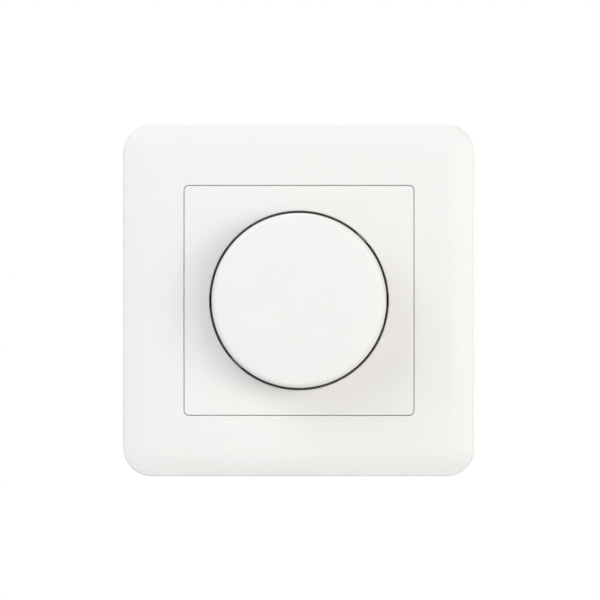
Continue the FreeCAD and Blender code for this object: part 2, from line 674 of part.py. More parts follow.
def cover_frame():
    """Moulded frame: crowned front, ledge that the centre plate clamps, collar and ribs behind."""
    body = new_body("cover_frame")
    outer = new_sketch(body, "FrameOutline")
    rounded_rectangle(outer, FRAME_SIDE, FRAME_SIDE, "Dims.frame_corner")
    pad(body, "FrameBlock", outer, "Dims.frame_height")
    document.recompute()

    # The crown is an arc that starts level with the front and steepens towards the edge.
    profile = new_sketch(body, "CrownProfile", "XZ")
    outside = f"({FRAME_SIDE} / 2 + Dims.merge)"
    edge_level = "(Dims.frame_height - Dims.crown_drop)"
    above = "(Dims.frame_height + Dims.merge)"
    outline(profile,
            [(CROWN_START, "Dims.frame_height"), (f"{FRAME_SIDE} / 2", edge_level),
             (outside, edge_level), (outside, above), (CROWN_START, above)],
            arcs={0: (CROWN_START, f"Dims.frame_height - {CROWN_RADIUS}")})
    crown = body.newObject("PartDesign::SubtractivePipe", "Crown")
    crown.Profile = profile
    crown.Spine = (outer, [f"Edge{n}" for n in range(1, 9)])
    round_edges(body, "FrameEdge", crown, "Dims.frame_edge_round", at_level(edge_level))

    front = new_sketch(body, "PlateOpening", level="Dims.frame_height")
    rounded_rectangle(front, OPENING, OPENING, OPENING_CORNER)
    pocket(body, "PlateSeat", front, "Dims.plate_thick")
    through = new_sketch(body, "LedgeOpening", level="Dims.frame_height")
    rounded_rectangle(through, LEDGE_OPENING, LEDGE_OPENING, OPENING_CORNER)
    cut = pocket(body, "LedgeCut", through)
    lip = at_level("Dims.frame_height", f"{OPENING} / 2")
    round_edges(body, "OpeningLip", cut, "Dims.frame_lip_round", lip)

    relief = new_sketch(body, "CollarInside")
    rounded_rectangle(relief, OPENING, OPENING, OPENING_CORNER)
    pocket(body, "CollarRelief", relief, f"{PLATE_BACK} - Dims.frame_ledge_thick", back=True)
    collar_side = f"({OPENING} + 2 * Dims.frame_collar_wall)"
    collar_corner = f"({OPENING_CORNER} + Dims.frame_collar_wall)"
    inner_side = f"({FRAME_SIDE} - 2 * Dims.frame_wall)"
    hollow = new_sketch(body, "EdgeHollow")
    rounded_rectangle(hollow, inner_side, inner_side, "(Dims.frame_corner - Dims.frame_wall)")
    rounded_rectangle(hollow, collar_side, collar_side, collar_corner)
    hollow_depth = "Dims.frame_height - Dims.crown_drop - Dims.frame_wall"
    pocket(body, "EdgeHollowCut", hollow, hollow_depth, back=True)
    deep = new_sketch(body, "FaceHollow")
    rounded_rectangle(deep, f"(2 * {CROWN_START})", f"(2 * {CROWN_START})", "Dims.frame_corner / 2")
    rounded_rectangle(deep, collar_side, collar_side, collar_corner)
    pocket(body, "FaceHollowCut", deep, "Dims.frame_height - Dims.frame_wall", back=True)

    # A rib all round halves the hollow, and three stepped ribs on each side tie the collar to
    # the outer wall.
    start = f"({collar_side} / 2 - Dims.frame_rib_bite)"
    step, end = f"({CROWN_START} - Dims.frame_rib_bite)", f"({inner_side} / 2 + Dims.frame_rib_bite)"
    high = "(Dims.frame_height - Dims.frame_wall + Dims.frame_rib_bite)"
    low = f"({high} - Dims.crown_drop)"
    spine = new_sketch(body, "SpineProfile")
    for outward in ("+", "-"):
        spine_side = f"(({collar_side} + {inner_side}) / 2 {outward} Dims.frame_rib_thick)"
        rounded_rectangle(spine, spine_side, spine_side, "Dims.frame_corner / 2")
    pad(body, "Spine", spine, high)
    ribs = []
    for number, across in enumerate(("-Dims.frame_rib_pitch", "0", "Dims.frame_rib_pitch")):
        rib = new_sketch(body, f"RibProfile{number}", "YZ", across)
        outline(rib, [(start, "0"), (end, "0"), (end, low), (step, low), (step, high), (start, high)])
        ribs.append(pad(body, f"Rib{number}", rib, "Dims.frame_rib_thick", midplane=True))
    around(body, "Ribs", ribs, 4)
    recess = new_sketch(body, "RingRecess")
    recess_side = f"({RING_SIDE} + 2 * Dims.ring_side_gap)"
    rounded_rectangle(recess, recess_side, recess_side, "Dims.ring_corner")
    pocket(body, "RingRecessCut", recess, "Dims.ring_thick + Dims.ring_recess_gap", back=True)


def centre_plate():
    """Moulded plate that is flush in the frame, with a round hole for the knob and four hooks."""
    body = new_body("centre_plate")
    face = new_sketch(body, "PlateOutline", level=PLATE_BACK)
    rounded_rectangle(face, PLATE_SIDE, PLATE_SIDE, "Dims.plate_corner")
    slab = pad(body, "PlateSlab", face, "Dims.plate_thick")
    edge = round_edges(body, "PlateEdge", slab, "Dims.plate_edge_round", at_level("Dims.frame_height"))

    skirt = new_sketch(body, "SkirtOutline", level=PLATE_BACK)
    skirt_inside = f"({SKIRT_SIDE} - 2 * Dims.plate_skirt_wall)"
    rounded_rectangle(skirt, SKIRT_SIDE, SKIRT_SIDE, "Dims.plate_corner")
    rounded_rectangle(skirt, skirt_inside, skirt_inside, "Dims.plate_corner / 2")
    pad(body, "Skirt", skirt, "Dims.plate_skirt_drop", back=True)
    collar = new_sketch(body, "CollarOutline", level=PLATE_BACK)
    circle(collar, f"({KNOB_HOLE} + 2 * Dims.plate_collar_wall)")
    pad(body, "HoleCollar", collar, "Dims.plate_collar_drop", back=True)
    hole = new_sketch(body, "KnobHole", level="Dims.frame_height")
    circle(hole, KNOB_HOLE)
    cut = pocket(body, "KnobHoleCut", hole)
    rim = at_level("Dims.frame_height", f"{KNOB_HOLE} / 2")
    round_edges(body, "KnobHoleRim", cut, "Dims.plate_hole_round", rim)

    # A hook is an arm from the skirt with a nose that grips behind the support ring.
    nose = f"({HOOK_OUT} + Dims.hook_nose)"
    grip, tip = "(-Dims.hook_clearance)", "(-Dims.hook_clearance - Dims.hook_nose_drop)"
    hook = new_sketch(body, "HookProfile", "YZ", HOOK_OFFSET)
    outline(hook, [(HOOK_IN, PLATE_BACK), (HOOK_IN, tip), (HOOK_OUT, tip),
                   (nose, f"{grip} - Dims.hook_lead"), (nose, grip), (HOOK_OUT, grip),
                   (HOOK_OUT, PLATE_BACK)])
    arm = pad(body, "Hook", hook, "Dims.hook_wide", midplane=True)
    around(body, "Hooks", [arm], 4)


def rotary_knob():
    """Moulded cap with a drafted side, a rounded front edge and a split socket for the shaft."""
    body = new_body("rotary_knob", SIZES["rest_turn"])
    foot = f"({KNOB_DIAMETER} / 2 + Dims.knob_sink * tan(Dims.knob_draft))"
    top = f"({KNOB_DIAMETER} / 2 - Dims.knob_rise * tan(Dims.knob_draft))"
    boss = "(Dims.knob_boss_diameter / 2)"
    half = new_sketch(body, "KnobProfile", "XZ")
    outline(half, [("0", KNOB_BOSS_END), (boss, KNOB_BOSS_END), (boss, KNOB_CEILING),
                   (f"{top} - Dims.knob_wall", KNOB_CEILING), (f"{foot} - Dims.knob_wall", KNOB_FOOT),
                   (foot, KNOB_FOOT), (top, KNOB_TOP), ("0", KNOB_TOP)])
    shell = revolve(body, "KnobShell", half)
    round_edges(body, "FrontEdge", shell, "Dims.knob_edge_round", at_level(KNOB_TOP))

    # Ribs stiffen the roof between the socket and the wall.
    rib = new_sketch(body, "RibProfile", "XZ")
    start, end = f"({boss} - Dims.merge)", f"({top} - Dims.knob_wall / 2)"
    under, over = f"({KNOB_CEILING} - Dims.knob_rib_drop)", f"({KNOB_CEILING} + Dims.merge)"
    outline(rib, [(start, under), (end, under), (end, over), (start, over)])
    wall = pad(body, "Rib", rib, "Dims.knob_rib_thick", midplane=True)
    around(body, "Ribs", [wall], 6)
    socket = new_sketch(body, "SocketOutline", level=KNOB_BOSS_END)
    flatted_bore(socket, SHAFT_BORE, "(Dims.shaft_flat + Dims.shaft_fit)")
    pocket(body, "Socket", socket, "Dims.knob_socket_depth", back=True)
    split = new_sketch(body, "SplitOutline", level=KNOB_BOSS_END)
    rectangle(split, "Dims.knob_boss_diameter", "Dims.knob_split_width")
    pocket(body, "Split", split, "Dims.knob_split_depth", back=True)


def knob_clip():
    """Open ring of spring steel that squeezes the split socket onto the shaft."""
    body = new_body("knob_clip", SIZES["rest_turn"])
    level = f"({KNOB_BOSS_END} + Dims.clip_inset)"
    ring = new_sketch(body, "ClipRing", level=level)
    circle(ring, "(Dims.knob_boss_diameter + 2 * (Dims.clip_fit + Dims.clip_thick))")
    circle(ring, "(Dims.knob_boss_diameter + 2 * Dims.clip_fit)")
    pad(body, "Clip", ring, "Dims.clip_height")
    gap = new_sketch(body, "ClipGap", level=level)
    rectangle(gap, "Dims.clip_gap_width", "Dims.knob_boss_diameter", "0",
              "(-Dims.knob_boss_diameter / 2 - Dims.clip_thick)")
    pocket(body, "ClipGapCut", gap, "Dims.clip_height", back=True)


def support_ring():
    """Stamped steel frame that carries the insert and is screwed or clamped to the wall box."""
    body = new_body("support_ring")
    plate = new_sketch(body, "RingOutline")
    rounded_rectangle(plate, RING_SIDE, RING_SIDE, "Dims.ring_corner")
    circle(plate, RING_BORE)
    pad(body, "RingPlate", plate, "Dims.ring_thick")
    level = "Dims.ring_thick"
    long_slot = new_sketch(body, "BoxScrewSlot", level=level)
    slot(long_slot, "Dims.box_slot_length", "Dims.box_slot_width", f"{BOX_SPACING} / 2")
    slots = pocket(body, "BoxScrewSlotCut", long_slot)
    around(body, "BoxScrewSlots", [slots], 4)
    corner = new_sketch(body, "WallScrewHole", level=level)
    circle(corner, "Dims.wall_screw_hole", f"{WALL_SPACING} / 2", f"{WALL_SPACING} / 2")
    hole = pocket(body, "WallScrewHoleCut", corner)
    around(body, "WallScrewHoles", [hole], 4)

    # A window leaves room for a hook to bend inwards until its nose has passed.
    outside = f"({HOOK_OUT} + Dims.hook_window_gap)"
    inside = f"({HOOK_IN} - Dims.hook_nose - Dims.hook_window_gap)"
    window = new_sketch(body, "HookWindow", level=level)
    rectangle(window, "(Dims.hook_wide + 2 * Dims.hook_window_gap)", f"({outside} - {inside})",
              HOOK_OFFSET, f"({outside} + {inside}) / 2")
    opening = pocket(body, "HookWindowCut", window)
    around(body, "HookWindows", [opening], 4)
    seat = new_sketch(body, "ClawScrewHole", level=level)
    circle(seat, "Dims.claw_seat_hole", CLAW_REACH)
    claw_hole = pocket(body, "ClawScrewHoleCut", seat)
    around(body, "ClawScrewHoles", [claw_hole], 2)
    lid = new_sketch(body, "LidScrewHole", level=level)
    circle(lid, SCREW_HOLE, LID_RIGHT, LID_UP)
    lid_hole = pocket(body, "LidScrewHoleCut", lid)
    around(body, "LidScrewHoles", [lid_hole], 2)


def rear_housing():
    """Moulded cup behind the ring: board shelf, terminal chambers, vents and claw ramps."""
    body = new_body("rear_housing")
    shell = new_sketch(body, "HousingOutline", level=HOUSING_BACK)
    flatted_round(shell, HOUSING_ROUND, HOUSING_WIDE, HOUSING_HIGH)
    block = pad(body, "HousingBlock", shell, "Dims.housing_depth")
    round_edges(body, "HousingEdge", block, "Dims.housing_edge_round", at_level(HOUSING_BACK))
    upper = new_sketch(body, "BoardSpace", level=RIM)
    wall = "2 * Dims.housing_wall"
    flatted_round(upper, f"({HOUSING_ROUND} - {wall})", f"({HOUSING_WIDE} - {wall})",
                  f"({HOUSING_HIGH} - {wall})")
    pocket(body, "BoardSpaceCut", upper, f"{RIM} - {BOARD_BACK}")
    lower = new_sketch(body, "TerminalSpace", level=RIM)
    inset = "2 * (Dims.housing_wall + Dims.board_shelf)"
    flatted_round(lower, f"({HOUSING_ROUND} - {inset})", f"({HOUSING_WIDE} - {inset})",
                  f"({HOUSING_HIGH} - {inset})")
    pocket(body, "TerminalSpaceCut", lower, f"{RIM} - {HOUSING_FLOOR}")

    boss = new_sketch(body, "ScrewBoss", level=RIM)
    circle(boss, "Dims.lid_screw_boss", LID_RIGHT, LID_UP)
    post = pad(body, "ScrewBossPost", boss, f"{RIM} - {HOUSING_FLOOR}", back=True)
    pilot = new_sketch(body, "ScrewPilot", level=RIM)
    circle(pilot, "(Dims.lid_screw_diameter + 2 * Dims.lid_screw_fit)", LID_RIGHT, LID_UP)
    drill = pocket(body, "ScrewPilotHole", pilot, "Dims.lid_screw_length")
    around(body, "ScrewBosses", [post, drill], 2)

    # Partitions keep the three terminals apart.
    fence = new_sketch(body, "Partition", level=HOUSING_FLOOR)
    fence_long = "(Dims.terminal_long + Dims.terminal_end_gap)"
    rectangle(fence, "Dims.terminal_partition", fence_long, "-Dims.terminal_pitch * 1.5",
              f"{INNER_LOW} + {fence_long} / 2")
    divider = pad(body, "PartitionWall", fence, f"{BOARD_BACK} - {TERMINAL_BACK}")
    in_row(body, "Partitions", [divider], 4, "Dims.terminal_pitch")

    access = new_sketch(body, "ScrewAccess", level=HOUSING_FLOOR)
    for across in TERMINAL_PLACES:
        circle(access, "Dims.terminal_access", across, TERMINAL_MIDDLE)
    pocket(body, "ScrewAccessHoles", access)
    entries = (("WireEntries", "(Dims.terminal_wire_hole + 2 * Dims.terminal_hole_gap)",
                "Dims.housing_wall + Dims.board_shelf + Dims.terminal_end_gap"),
               ("WireFunnels", "Dims.terminal_funnel", "Dims.terminal_funnel_deep"))
    for name, diameter, deep in entries:
        holes = new_sketch(body, name, "XZ", f"{HOUSING_HIGH} / 2")
        for across in TERMINAL_PLACES:
            circle(holes, diameter, across, WIRE_LEVEL)
        pocket(body, f"{name}Cut", holes, deep)

    vent = new_sketch(body, "Vent", level=HOUSING_FLOOR)
    slot(vent, "Dims.vent_long", "Dims.vent_wide", "-Dims.vent_pitch * 2", VENT_UP,
         upright=True)
    vents = pocket(body, "VentCut", vent)
    in_row(body, "Vents", [vents], 5, "Dims.vent_pitch")

    # The ramp on each flat spreads a claw as its screw draws it forward.
    flat, root = f"({HOUSING_WIDE} / 2)", f"({HOUSING_WIDE} / 2 - Dims.merge)"
    foot = f"({HOUSING_BACK} + Dims.ramp_foot)"
    ramp = new_sketch(body, "RampProfile", "XZ")
    outline(ramp, [(root, foot), (flat, foot),
                   (f"{flat} + Dims.ramp_toe_out", "-Dims.ramp_toe_level"),
                   (f"{flat} + Dims.ramp_crest_out", "-Dims.ramp_crest_level"),
                   (f"{flat} + Dims.ramp_crest_out", "-Dims.ramp_end_level"),
                   (root, "-Dims.ramp_end_level")])
    wedge = pad(body, "Ramp", ramp, "Dims.claw_wide", midplane=True)
    groove = new_sketch(body, "RampGroove", level=HOUSING_BACK)
    groove_deep = "(Dims.ramp_crest_out + Dims.merge)"
    rectangle(groove, groove_deep, "Dims.ramp_groove", f"{flat} + {groove_deep} / 2", "0")
    channel = pocket(body, "RampGrooveCut", groove, "Dims.housing_depth", back=True)
    around(body, "Ramps", [wedge, channel], 2)


def front_cover():
    """Lid of the insert: a flange under the ring and a turret that carries the potentiometer."""
    body = new_body("front_cover")
    flange = new_sketch(body, "FlangeOutline", level=RIM)
    flatted_round(flange, HOUSING_ROUND, HOUSING_WIDE, HOUSING_HIGH)
    pad(body, "Flange", flange, "Dims.lid_thick")
    turret = new_sketch(body, "TurretOutline")
    circle(turret, TURRET)
    pad(body, "Turret", turret, "Dims.turret_height")
    inside = new_sketch(body, "TurretInside", level=RIM)
    circle(inside, f"({TURRET} - 2 * Dims.turret_wall)")
    pocket(body, "TurretHollow", inside, f"{POT_FRONT} - {RIM}", back=True)
    holes = new_sketch(body, "TurretHoles", level="Dims.turret_height")
    circle(holes, "(Dims.neck_diameter + 2 * Dims.neck_thread_clearance)")
    circle(holes, "(Dims.trimmer_spindle + 2 * Dims.trimmer_fit)", TRIMMER_RIGHT)
    pocket(body, "TurretHoleCuts", holes)
    screw = new_sketch(body, "ScrewHole", level="0")
    circle(screw, SCREW_HOLE, LID_RIGHT, LID_UP)
    hole = pocket(body, "ScrewHoleCut", screw)
    around(body, "ScrewHoles", [hole], 2)


def lid_screws():
    """Two pan-head screws that hold ring, lid and housing together."""
    body = new_body("lid_screws")
    top = "(Dims.ring_thick + Dims.lid_screw_head_high)"
    spot = LID_RIGHT, LID_UP
    parts = [cylinder(body, "Head", "Dims.lid_screw_head", "Dims.lid_screw_head_high", *spot,
                      "Dims.ring_thick"),
             cylinder(body, "Shank", "Dims.lid_screw_diameter", "Dims.lid_screw_length", *spot,
                      "(Dims.ring_thick - Dims.lid_screw_length)")]
    parts += cross_recess(body, top, *spot)
    around(body, "Screws", parts, 2)


def potentiometer():
    """Potentiometer behind the turret: case, neck, washer, nut, wafer, rotor and wiper."""
    case = new_body("pot_case")
    square = new_sketch(case, "CaseOutline", level=POT_BACK)
    rounded_rectangle(square, "Dims.pot_side", "Dims.pot_side", "Dims.pot_corner")
    pad(case, "CaseBlock", square, "Dims.pot_depth")
    cavity = new_sketch(case, "Cavity", level=POT_BACK)
    circle(cavity, "Dims.pot_bore")
    pocket(case, "CavityCut", cavity, f"{POT_CEILING} - {POT_BACK}", back=True)
    track = new_sketch(case, "StopTrack", "YZ")
    inner, outer = "(Dims.pot_bore / 2 - Dims.merge)", "(Dims.pot_stop_bore / 2)"
    outline(track, [(inner, POT_BACK), (outer, POT_BACK), (outer, POT_CEILING), (inner, POT_CEILING)])
    revolve(case, "StopTrackCut", track, "Dims.pot_stop_swing", cut=True)
    seat = new_sketch(case, "NeckSeat", level=POT_FRONT)
    circle(seat, "(Dims.neck_seat_diameter + 2 * Dims.neck_fit)")
    pocket(case, "NeckSeatCut", seat)

    neck = new_body("threaded_neck")
    profile = new_sketch(neck, "NeckProfile", "XZ")
    bore = f"({SHAFT_BORE} / 2)"
    seat_r, thread_r = "(Dims.neck_seat_diameter / 2)", "(Dims.neck_diameter / 2)"
    outline(profile, [(bore, POT_CEILING), (seat_r, POT_CEILING), (seat_r, POT_FRONT),
                      (thread_r, POT_FRONT), (thread_r, f"{NECK_TOP} - Dims.neck_chamfer"),
                      (f"{thread_r} - Dims.neck_chamfer", NECK_TOP), (bore, NECK_TOP)])
    revolve(neck, "Neck", profile)

    washer = new_body("neck_washer")
    disc = new_sketch(washer, "WasherOutline", level="Dims.turret_height")
    circle(disc, "Dims.neck_washer_diameter")
    circle(disc, "(Dims.neck_diameter + 2 * Dims.neck_thread_clearance)")
    pad(washer, "Washer", disc, "Dims.neck_washer_thick")

    nut = new_body("neck_nut")
    seat_level = "(Dims.turret_height + Dims.neck_washer_thick)"
    hexagon = new_sketch(nut, "NutOutline", level=seat_level)
    across = "Dims.neck_nut_across"
    corner = f"({across} / sqrt(3))"
    outline(hexagon, [(corner, "0"), (f"{corner} / 2", f"{across} / 2"),
                      (f"-{corner} / 2", f"{across} / 2"), (f"-{corner}", "0"),
                      (f"-{corner} / 2", f"-{across} / 2"), (f"{corner} / 2", f"-{across} / 2")])
    circle(hexagon, "(Dims.neck_diameter + 2 * Dims.neck_fit)")
    pad(nut, "Nut", hexagon, "Dims.neck_nut_high")

    wafer = new_body("resistor_wafer")
    panel = new_sketch(wafer, "WaferOutline", level=POT_BACK)
    circle(panel, "(Dims.pot_bore - 2 * Dims.neck_fit)")
    circle(panel, "Dims.wafer_hole")
    pad(wafer, "Wafer", panel, "Dims.wafer_thick")

    turn = SIZES["rest_turn"]
    rotor_top = f"({POT_CEILING} - Dims.rotor_clearance)"
    rotor_back = f"({rotor_top} - Dims.rotor_thick)"
    rotor = new_body("pot_rotor", turn)
    rotor_r = "(Dims.pot_bore / 2 - Dims.rotor_side_gap)"
    hub_r, hub_end = "(Dims.rotor_hub / 2)", f"({WAFER_TOP} + Dims.rotor_clearance)"
    half = new_sketch(rotor, "RotorProfile", "YZ")
    outline(half, [("0", hub_end), (hub_r, hub_end), (hub_r, rotor_back), (rotor_r, rotor_back),
                   (rotor_r, rotor_top), ("0", rotor_top)])
    revolve(rotor, "RotorDisc", half)
    lug = new_sketch(rotor, "LugProfile", "YZ")
    lug_r = "(Dims.pot_bore / 2 + Dims.rotor_lug_reach)"
    lug_root = f"({rotor_r} - Dims.merge)"
    outline(lug, [(lug_root, rotor_back), (lug_r, rotor_back), (lug_r, rotor_top),
                  (lug_root, rotor_top)])
    revolve(rotor, "Lug", lug, "Dims.rotor_lug_angle")
    socket = new_sketch(rotor, "RotorSocket", level=rotor_top)
    flatted_bore(socket, SHAFT_BORE, "(Dims.shaft_flat + Dims.shaft_fit)")
    pocket(rotor, "RotorSocketCut", socket)

    wiper = new_body("wiper_contact", turn)
    blade = new_sketch(wiper, "WiperOutline", level=rotor_back)
    circle(blade, "Dims.wiper_wide")
    circle(blade, "(Dims.rotor_hub + 2 * Dims.neck_fit)")
    pad(wiper, "WiperBlade", blade, "Dims.wiper_thick", back=True)
    tip_reach = "((Dims.wiper_wide + Dims.rotor_hub) / 4)"
    tip_long = f"({rotor_back} - {WAFER_TOP} - Dims.wiper_lift)"
    tips = new_sketch(wiper, "TipOutlines", level=rotor_back)
    circle(tips, "Dims.wiper_tip", "0", tip_reach)
    points = pad(wiper, "Tip", tips, tip_long, back=True)
    around(wiper, "Tips", [points], 3)


def push_switch():
    """On-off switch behind the potentiometer: case, plunger and return spring."""
    case = new_body("switch_case")
    square = new_sketch(case, "SwitchOutline", level=BOARD_TOP)
    rounded_rectangle(square, "Dims.switch_side", "Dims.switch_side", "Dims.switch_corner")
    pad(case, "SwitchBlock", square, "Dims.switch_depth")
    well = new_sketch(case, "PlungerWell", level=POT_BACK)
    circle(well, "Dims.switch_bore")
    pocket(case, "PlungerWellCut", well, "Dims.switch_depth - Dims.switch_floor")

    plunger = new_body("switch_plunger")
    collar_end = f"({SHAFT_FOOT} - Dims.plunger_collar)"
    stem_end = f"({collar_end} - Dims.plunger_stem_long)"
    collar_r, stem_r = "(Dims.plunger_diameter / 2)", "(Dims.plunger_stem / 2)"
    cup_r = "(Dims.spigot_diameter / 2 + Dims.shaft_fit)"
    cup_end = f"({SHAFT_FOOT} - Dims.plunger_cup_depth)"
    half = new_sketch(plunger, "PlungerProfile", "XZ")
    outline(half, [("0", stem_end), (stem_r, stem_end), (stem_r, collar_end),
                   (collar_r, collar_end), (collar_r, SHAFT_FOOT), (cup_r, SHAFT_FOOT),
                   (cup_r, cup_end), ("0", cup_end)])
    revolve(plunger, "Plunger", half)

    # The spring stands between the well's floor and the plunger's collar.
    spring = new_body("plunger_spring")
    wire_r = "(Dims.spring_wire / 2)"
    coil_r = f"(Dims.spring_diameter / 2 - {wire_r})"
    foot = f"({BOARD_TOP} + Dims.switch_floor + Dims.spring_end_gap + {wire_r})"
    wire = new_sketch(spring, "WireSection", "XZ")
    outline(wire, [(f"{coil_r} + {wire_r}", foot), (coil_r, f"{foot} + {wire_r}"),
                   (f"{coil_r} - {wire_r}", foot), (coil_r, f"{foot} - {wire_r}")])
    coil = spring.newObject("PartDesign::AdditiveHelix", "Coil")
    coil.Profile = wire
    coil.ReferenceAxis = (wire, ["V_Axis"])
    coil.Mode = "height-turns-angle"
    bind(coil, Height=f"{collar_end} - {foot} - {wire_r} - Dims.spring_end_gap", Turns="Dims.spring_turns")


def control_shaft():
    """Steel shaft with flats for the knob and the rotor and a spigot that turns in the plunger."""
    body = new_body("control_shaft", SIZES["rest_turn"])
    rod = new_sketch(body, "ShaftOutline", level=SHAFT_FOOT)
    circle(rod, "Dims.shaft_diameter")
    pad(body, "Shaft", rod, f"{SHAFT_TOP} - {SHAFT_FOOT}")
    spigot = new_sketch(body, "SpigotOutline", level=SHAFT_FOOT)
    circle(spigot, "Dims.spigot_diameter")
    pad(body, "Spigot", spigot, "Dims.spigot_length", back=True)
    flat_high = "(Dims.shaft_diameter / 2)"
    flat_mid = f"(Dims.shaft_flat + {flat_high} / 2)"
    upper = new_sketch(body, "KnobFlat", level=SHAFT_TOP)
    rectangle(upper, "Dims.shaft_diameter", flat_high, "0", flat_mid)
    pocket(body, "KnobFlatCut", upper, f"{SHAFT_TOP} - Dims.shaft_flat_start")
    lower = new_sketch(body, "RotorFlat", level=SHAFT_FOOT)
    rectangle(lower, "Dims.shaft_diameter", flat_high, "0", flat_mid)
    flat_end = f"({POT_CEILING} + Dims.push_travel)"
    pocket(body, "RotorFlatCut", lower, f"{flat_end} - {SHAFT_FOOT}", back=True)
    ring = new_sketch(body, "RetainingRing", level=SHAFT_FOOT)
    circle(ring, "Dims.shaft_ring_diameter")
    pad(body, "Ring", ring, "Dims.shaft_ring_thick")


def circuit_board():
    """Board that rests on the housing's shelf and carries the electronics."""
    body = new_body("circuit_board")
    gap = "2 * (Dims.housing_wall + Dims.board_gap)"
    panel = new_sketch(body, "BoardOutline", level=BOARD_BACK)
    flatted_round(panel, f"({HOUSING_ROUND} - {gap})", f"({HOUSING_WIDE} - {gap})",
                  f"({HOUSING_HIGH} - {gap})")
    pad(body, "Board", panel, "Dims.board_thick")
    notch = new_sketch(body, "BossNotch", level=BOARD_TOP)
    circle(notch, "(Dims.lid_screw_boss + 2 * Dims.board_gap)", LID_RIGHT, LID_UP)
    cut = pocket(body, "BossNotchCut", notch)
    around(body, "BossNotches", [cut], 2)


def choke():
    """Ferrite ring and its copper winding, whose turns a band of tape holds."""
    spot = {"right": CHOKE_RIGHT, "up": CHOKE_UP}
    core = new_body("choke_core", **spot)
    stand, high = f"({BOARD_TOP} + Dims.choke_stand_off)", "Dims.choke_high"
    ring = new_sketch(core, "CoreRing", level=stand)
    circle(ring, "Dims.choke_outer")
    circle(ring, "Dims.choke_inner")
    pad(core, "Core", ring, high)

    winding = new_body("choke_winding", **spot)
    gap, wire = "Dims.choke_wire_gap", "Dims.choke_wire"
    inner, outer = f"(Dims.choke_inner / 2 - {gap})", f"(Dims.choke_outer / 2 + {gap})"
    low, top = f"({stand} - {gap})", f"({stand} + {high} + {gap})"
    loop = new_sketch(winding, "TurnProfile", "XZ")
    outline(loop, [(inner, low), (outer, low), (outer, top), (inner, top)])
    outline(loop, [(f"{inner} - {wire}", f"{low} - {wire}"), (f"{outer} + {wire}", f"{low} - {wire}"),
                   (f"{outer} + {wire}", f"{top} + {wire}"), (f"{inner} - {wire}", f"{top} + {wire}")])
    turn = pad(winding, "Turn", loop, wire, midplane=True)
    around(winding, "Turns", [turn], 14)
    tape = new_sketch(winding, "TapeRing", level=f"({stand} + {high} / 4)")
    circle(tape, f"(2 * {outer} + {wire})")
    circle(tape, f"(2 * {outer})")
    pad(winding, "Tape", tape, f"{high} / 2")


def board_parts():
    """Capacitors, fuse, controller, power transistors and their heat sink."""
    film = new_body("film_capacitor", right=FILM_RIGHT, up=FILM_UP)
    box(film, "Film", ("Dims.film_long", "Dims.film_wide", "Dims.film_high"), "0", "0", BOARD_TOP)
    can = new_body("electrolytic_capacitor", right=CAN_RIGHT, up=CAN_UP)
    cylinder(can, "Can", "Dims.can_diameter", "Dims.can_high", level=BOARD_TOP)
    chip = new_body("controller_chip", right=CHIP_RIGHT)
    box(chip, "Chip", ("Dims.chip_wide", "Dims.chip_long", "Dims.chip_high"), "0", "0", BOARD_TOP)

    fuse = new_body("fuse", right=FUSE_RIGHT, up=FUSE_UP)
    axis_level = f"({BOARD_TOP} + Dims.fuse_diameter / 2 + Dims.fuse_stand_off)"
    cylinder(fuse, "Tube", "Dims.fuse_diameter", "Dims.fuse_long", "(-Dims.fuse_long / 2)",
             level=axis_level, along="X")
    reach = "((Dims.fuse_long - Dims.fuse_foot) / 2)"
    for number, end in enumerate((f"(-{reach})", reach)):
        box(fuse, f"Foot{number}", ("Dims.fuse_foot", "Dims.fuse_foot",
                                    "(Dims.fuse_stand_off + Dims.fuse_diameter / 4)"), end, "0", BOARD_TOP)

    sink = new_body("heat_sink", up=TRANSISTOR_UP)
    sink_back = f"({RIM} - Dims.sink_gap - Dims.sink_thick)"
    box(sink, "Sink", (SINK_WIDE, "Dims.sink_long", "Dims.sink_thick"), "0",
        "Dims.sink_long / 2", sink_back)

    transistors = new_body("power_transistors", up=TRANSISTOR_UP)
    left = f"(-{TRANSISTOR_SPACING} / 2)"
    wide, long = "Dims.transistor_wide", "Dims.transistor_long"
    foot = f"({sink_back} - Dims.transistor_high)"
    tab_long = "(Dims.transistor_tab_long + Dims.merge)"
    parts = [box(transistors, "Case", (wide, long, "Dims.transistor_high"), left, f"{long} / 2", foot),
             box(transistors, "Tab", (wide, tab_long, "Dims.transistor_tab_thick"), left,
                 f"{long} - Dims.merge + {tab_long} / 2", f"({sink_back} - Dims.transistor_tab_thick)")]
    for number, step in enumerate(("- Dims.transistor_lead_pitch", "+ 0", "+ Dims.transistor_lead_pitch")):
        parts.append(box(transistors, f"Lead{number}",
                         ("Dims.transistor_lead", "Dims.transistor_lead",
                          f"({foot} + Dims.transistor_lead_bite - {BOARD_TOP})"),
                         f"({left} {step})", "Dims.transistor_lead", BOARD_TOP))
    in_row(transistors, "Pair", parts, 2, TRANSISTOR_SPACING)


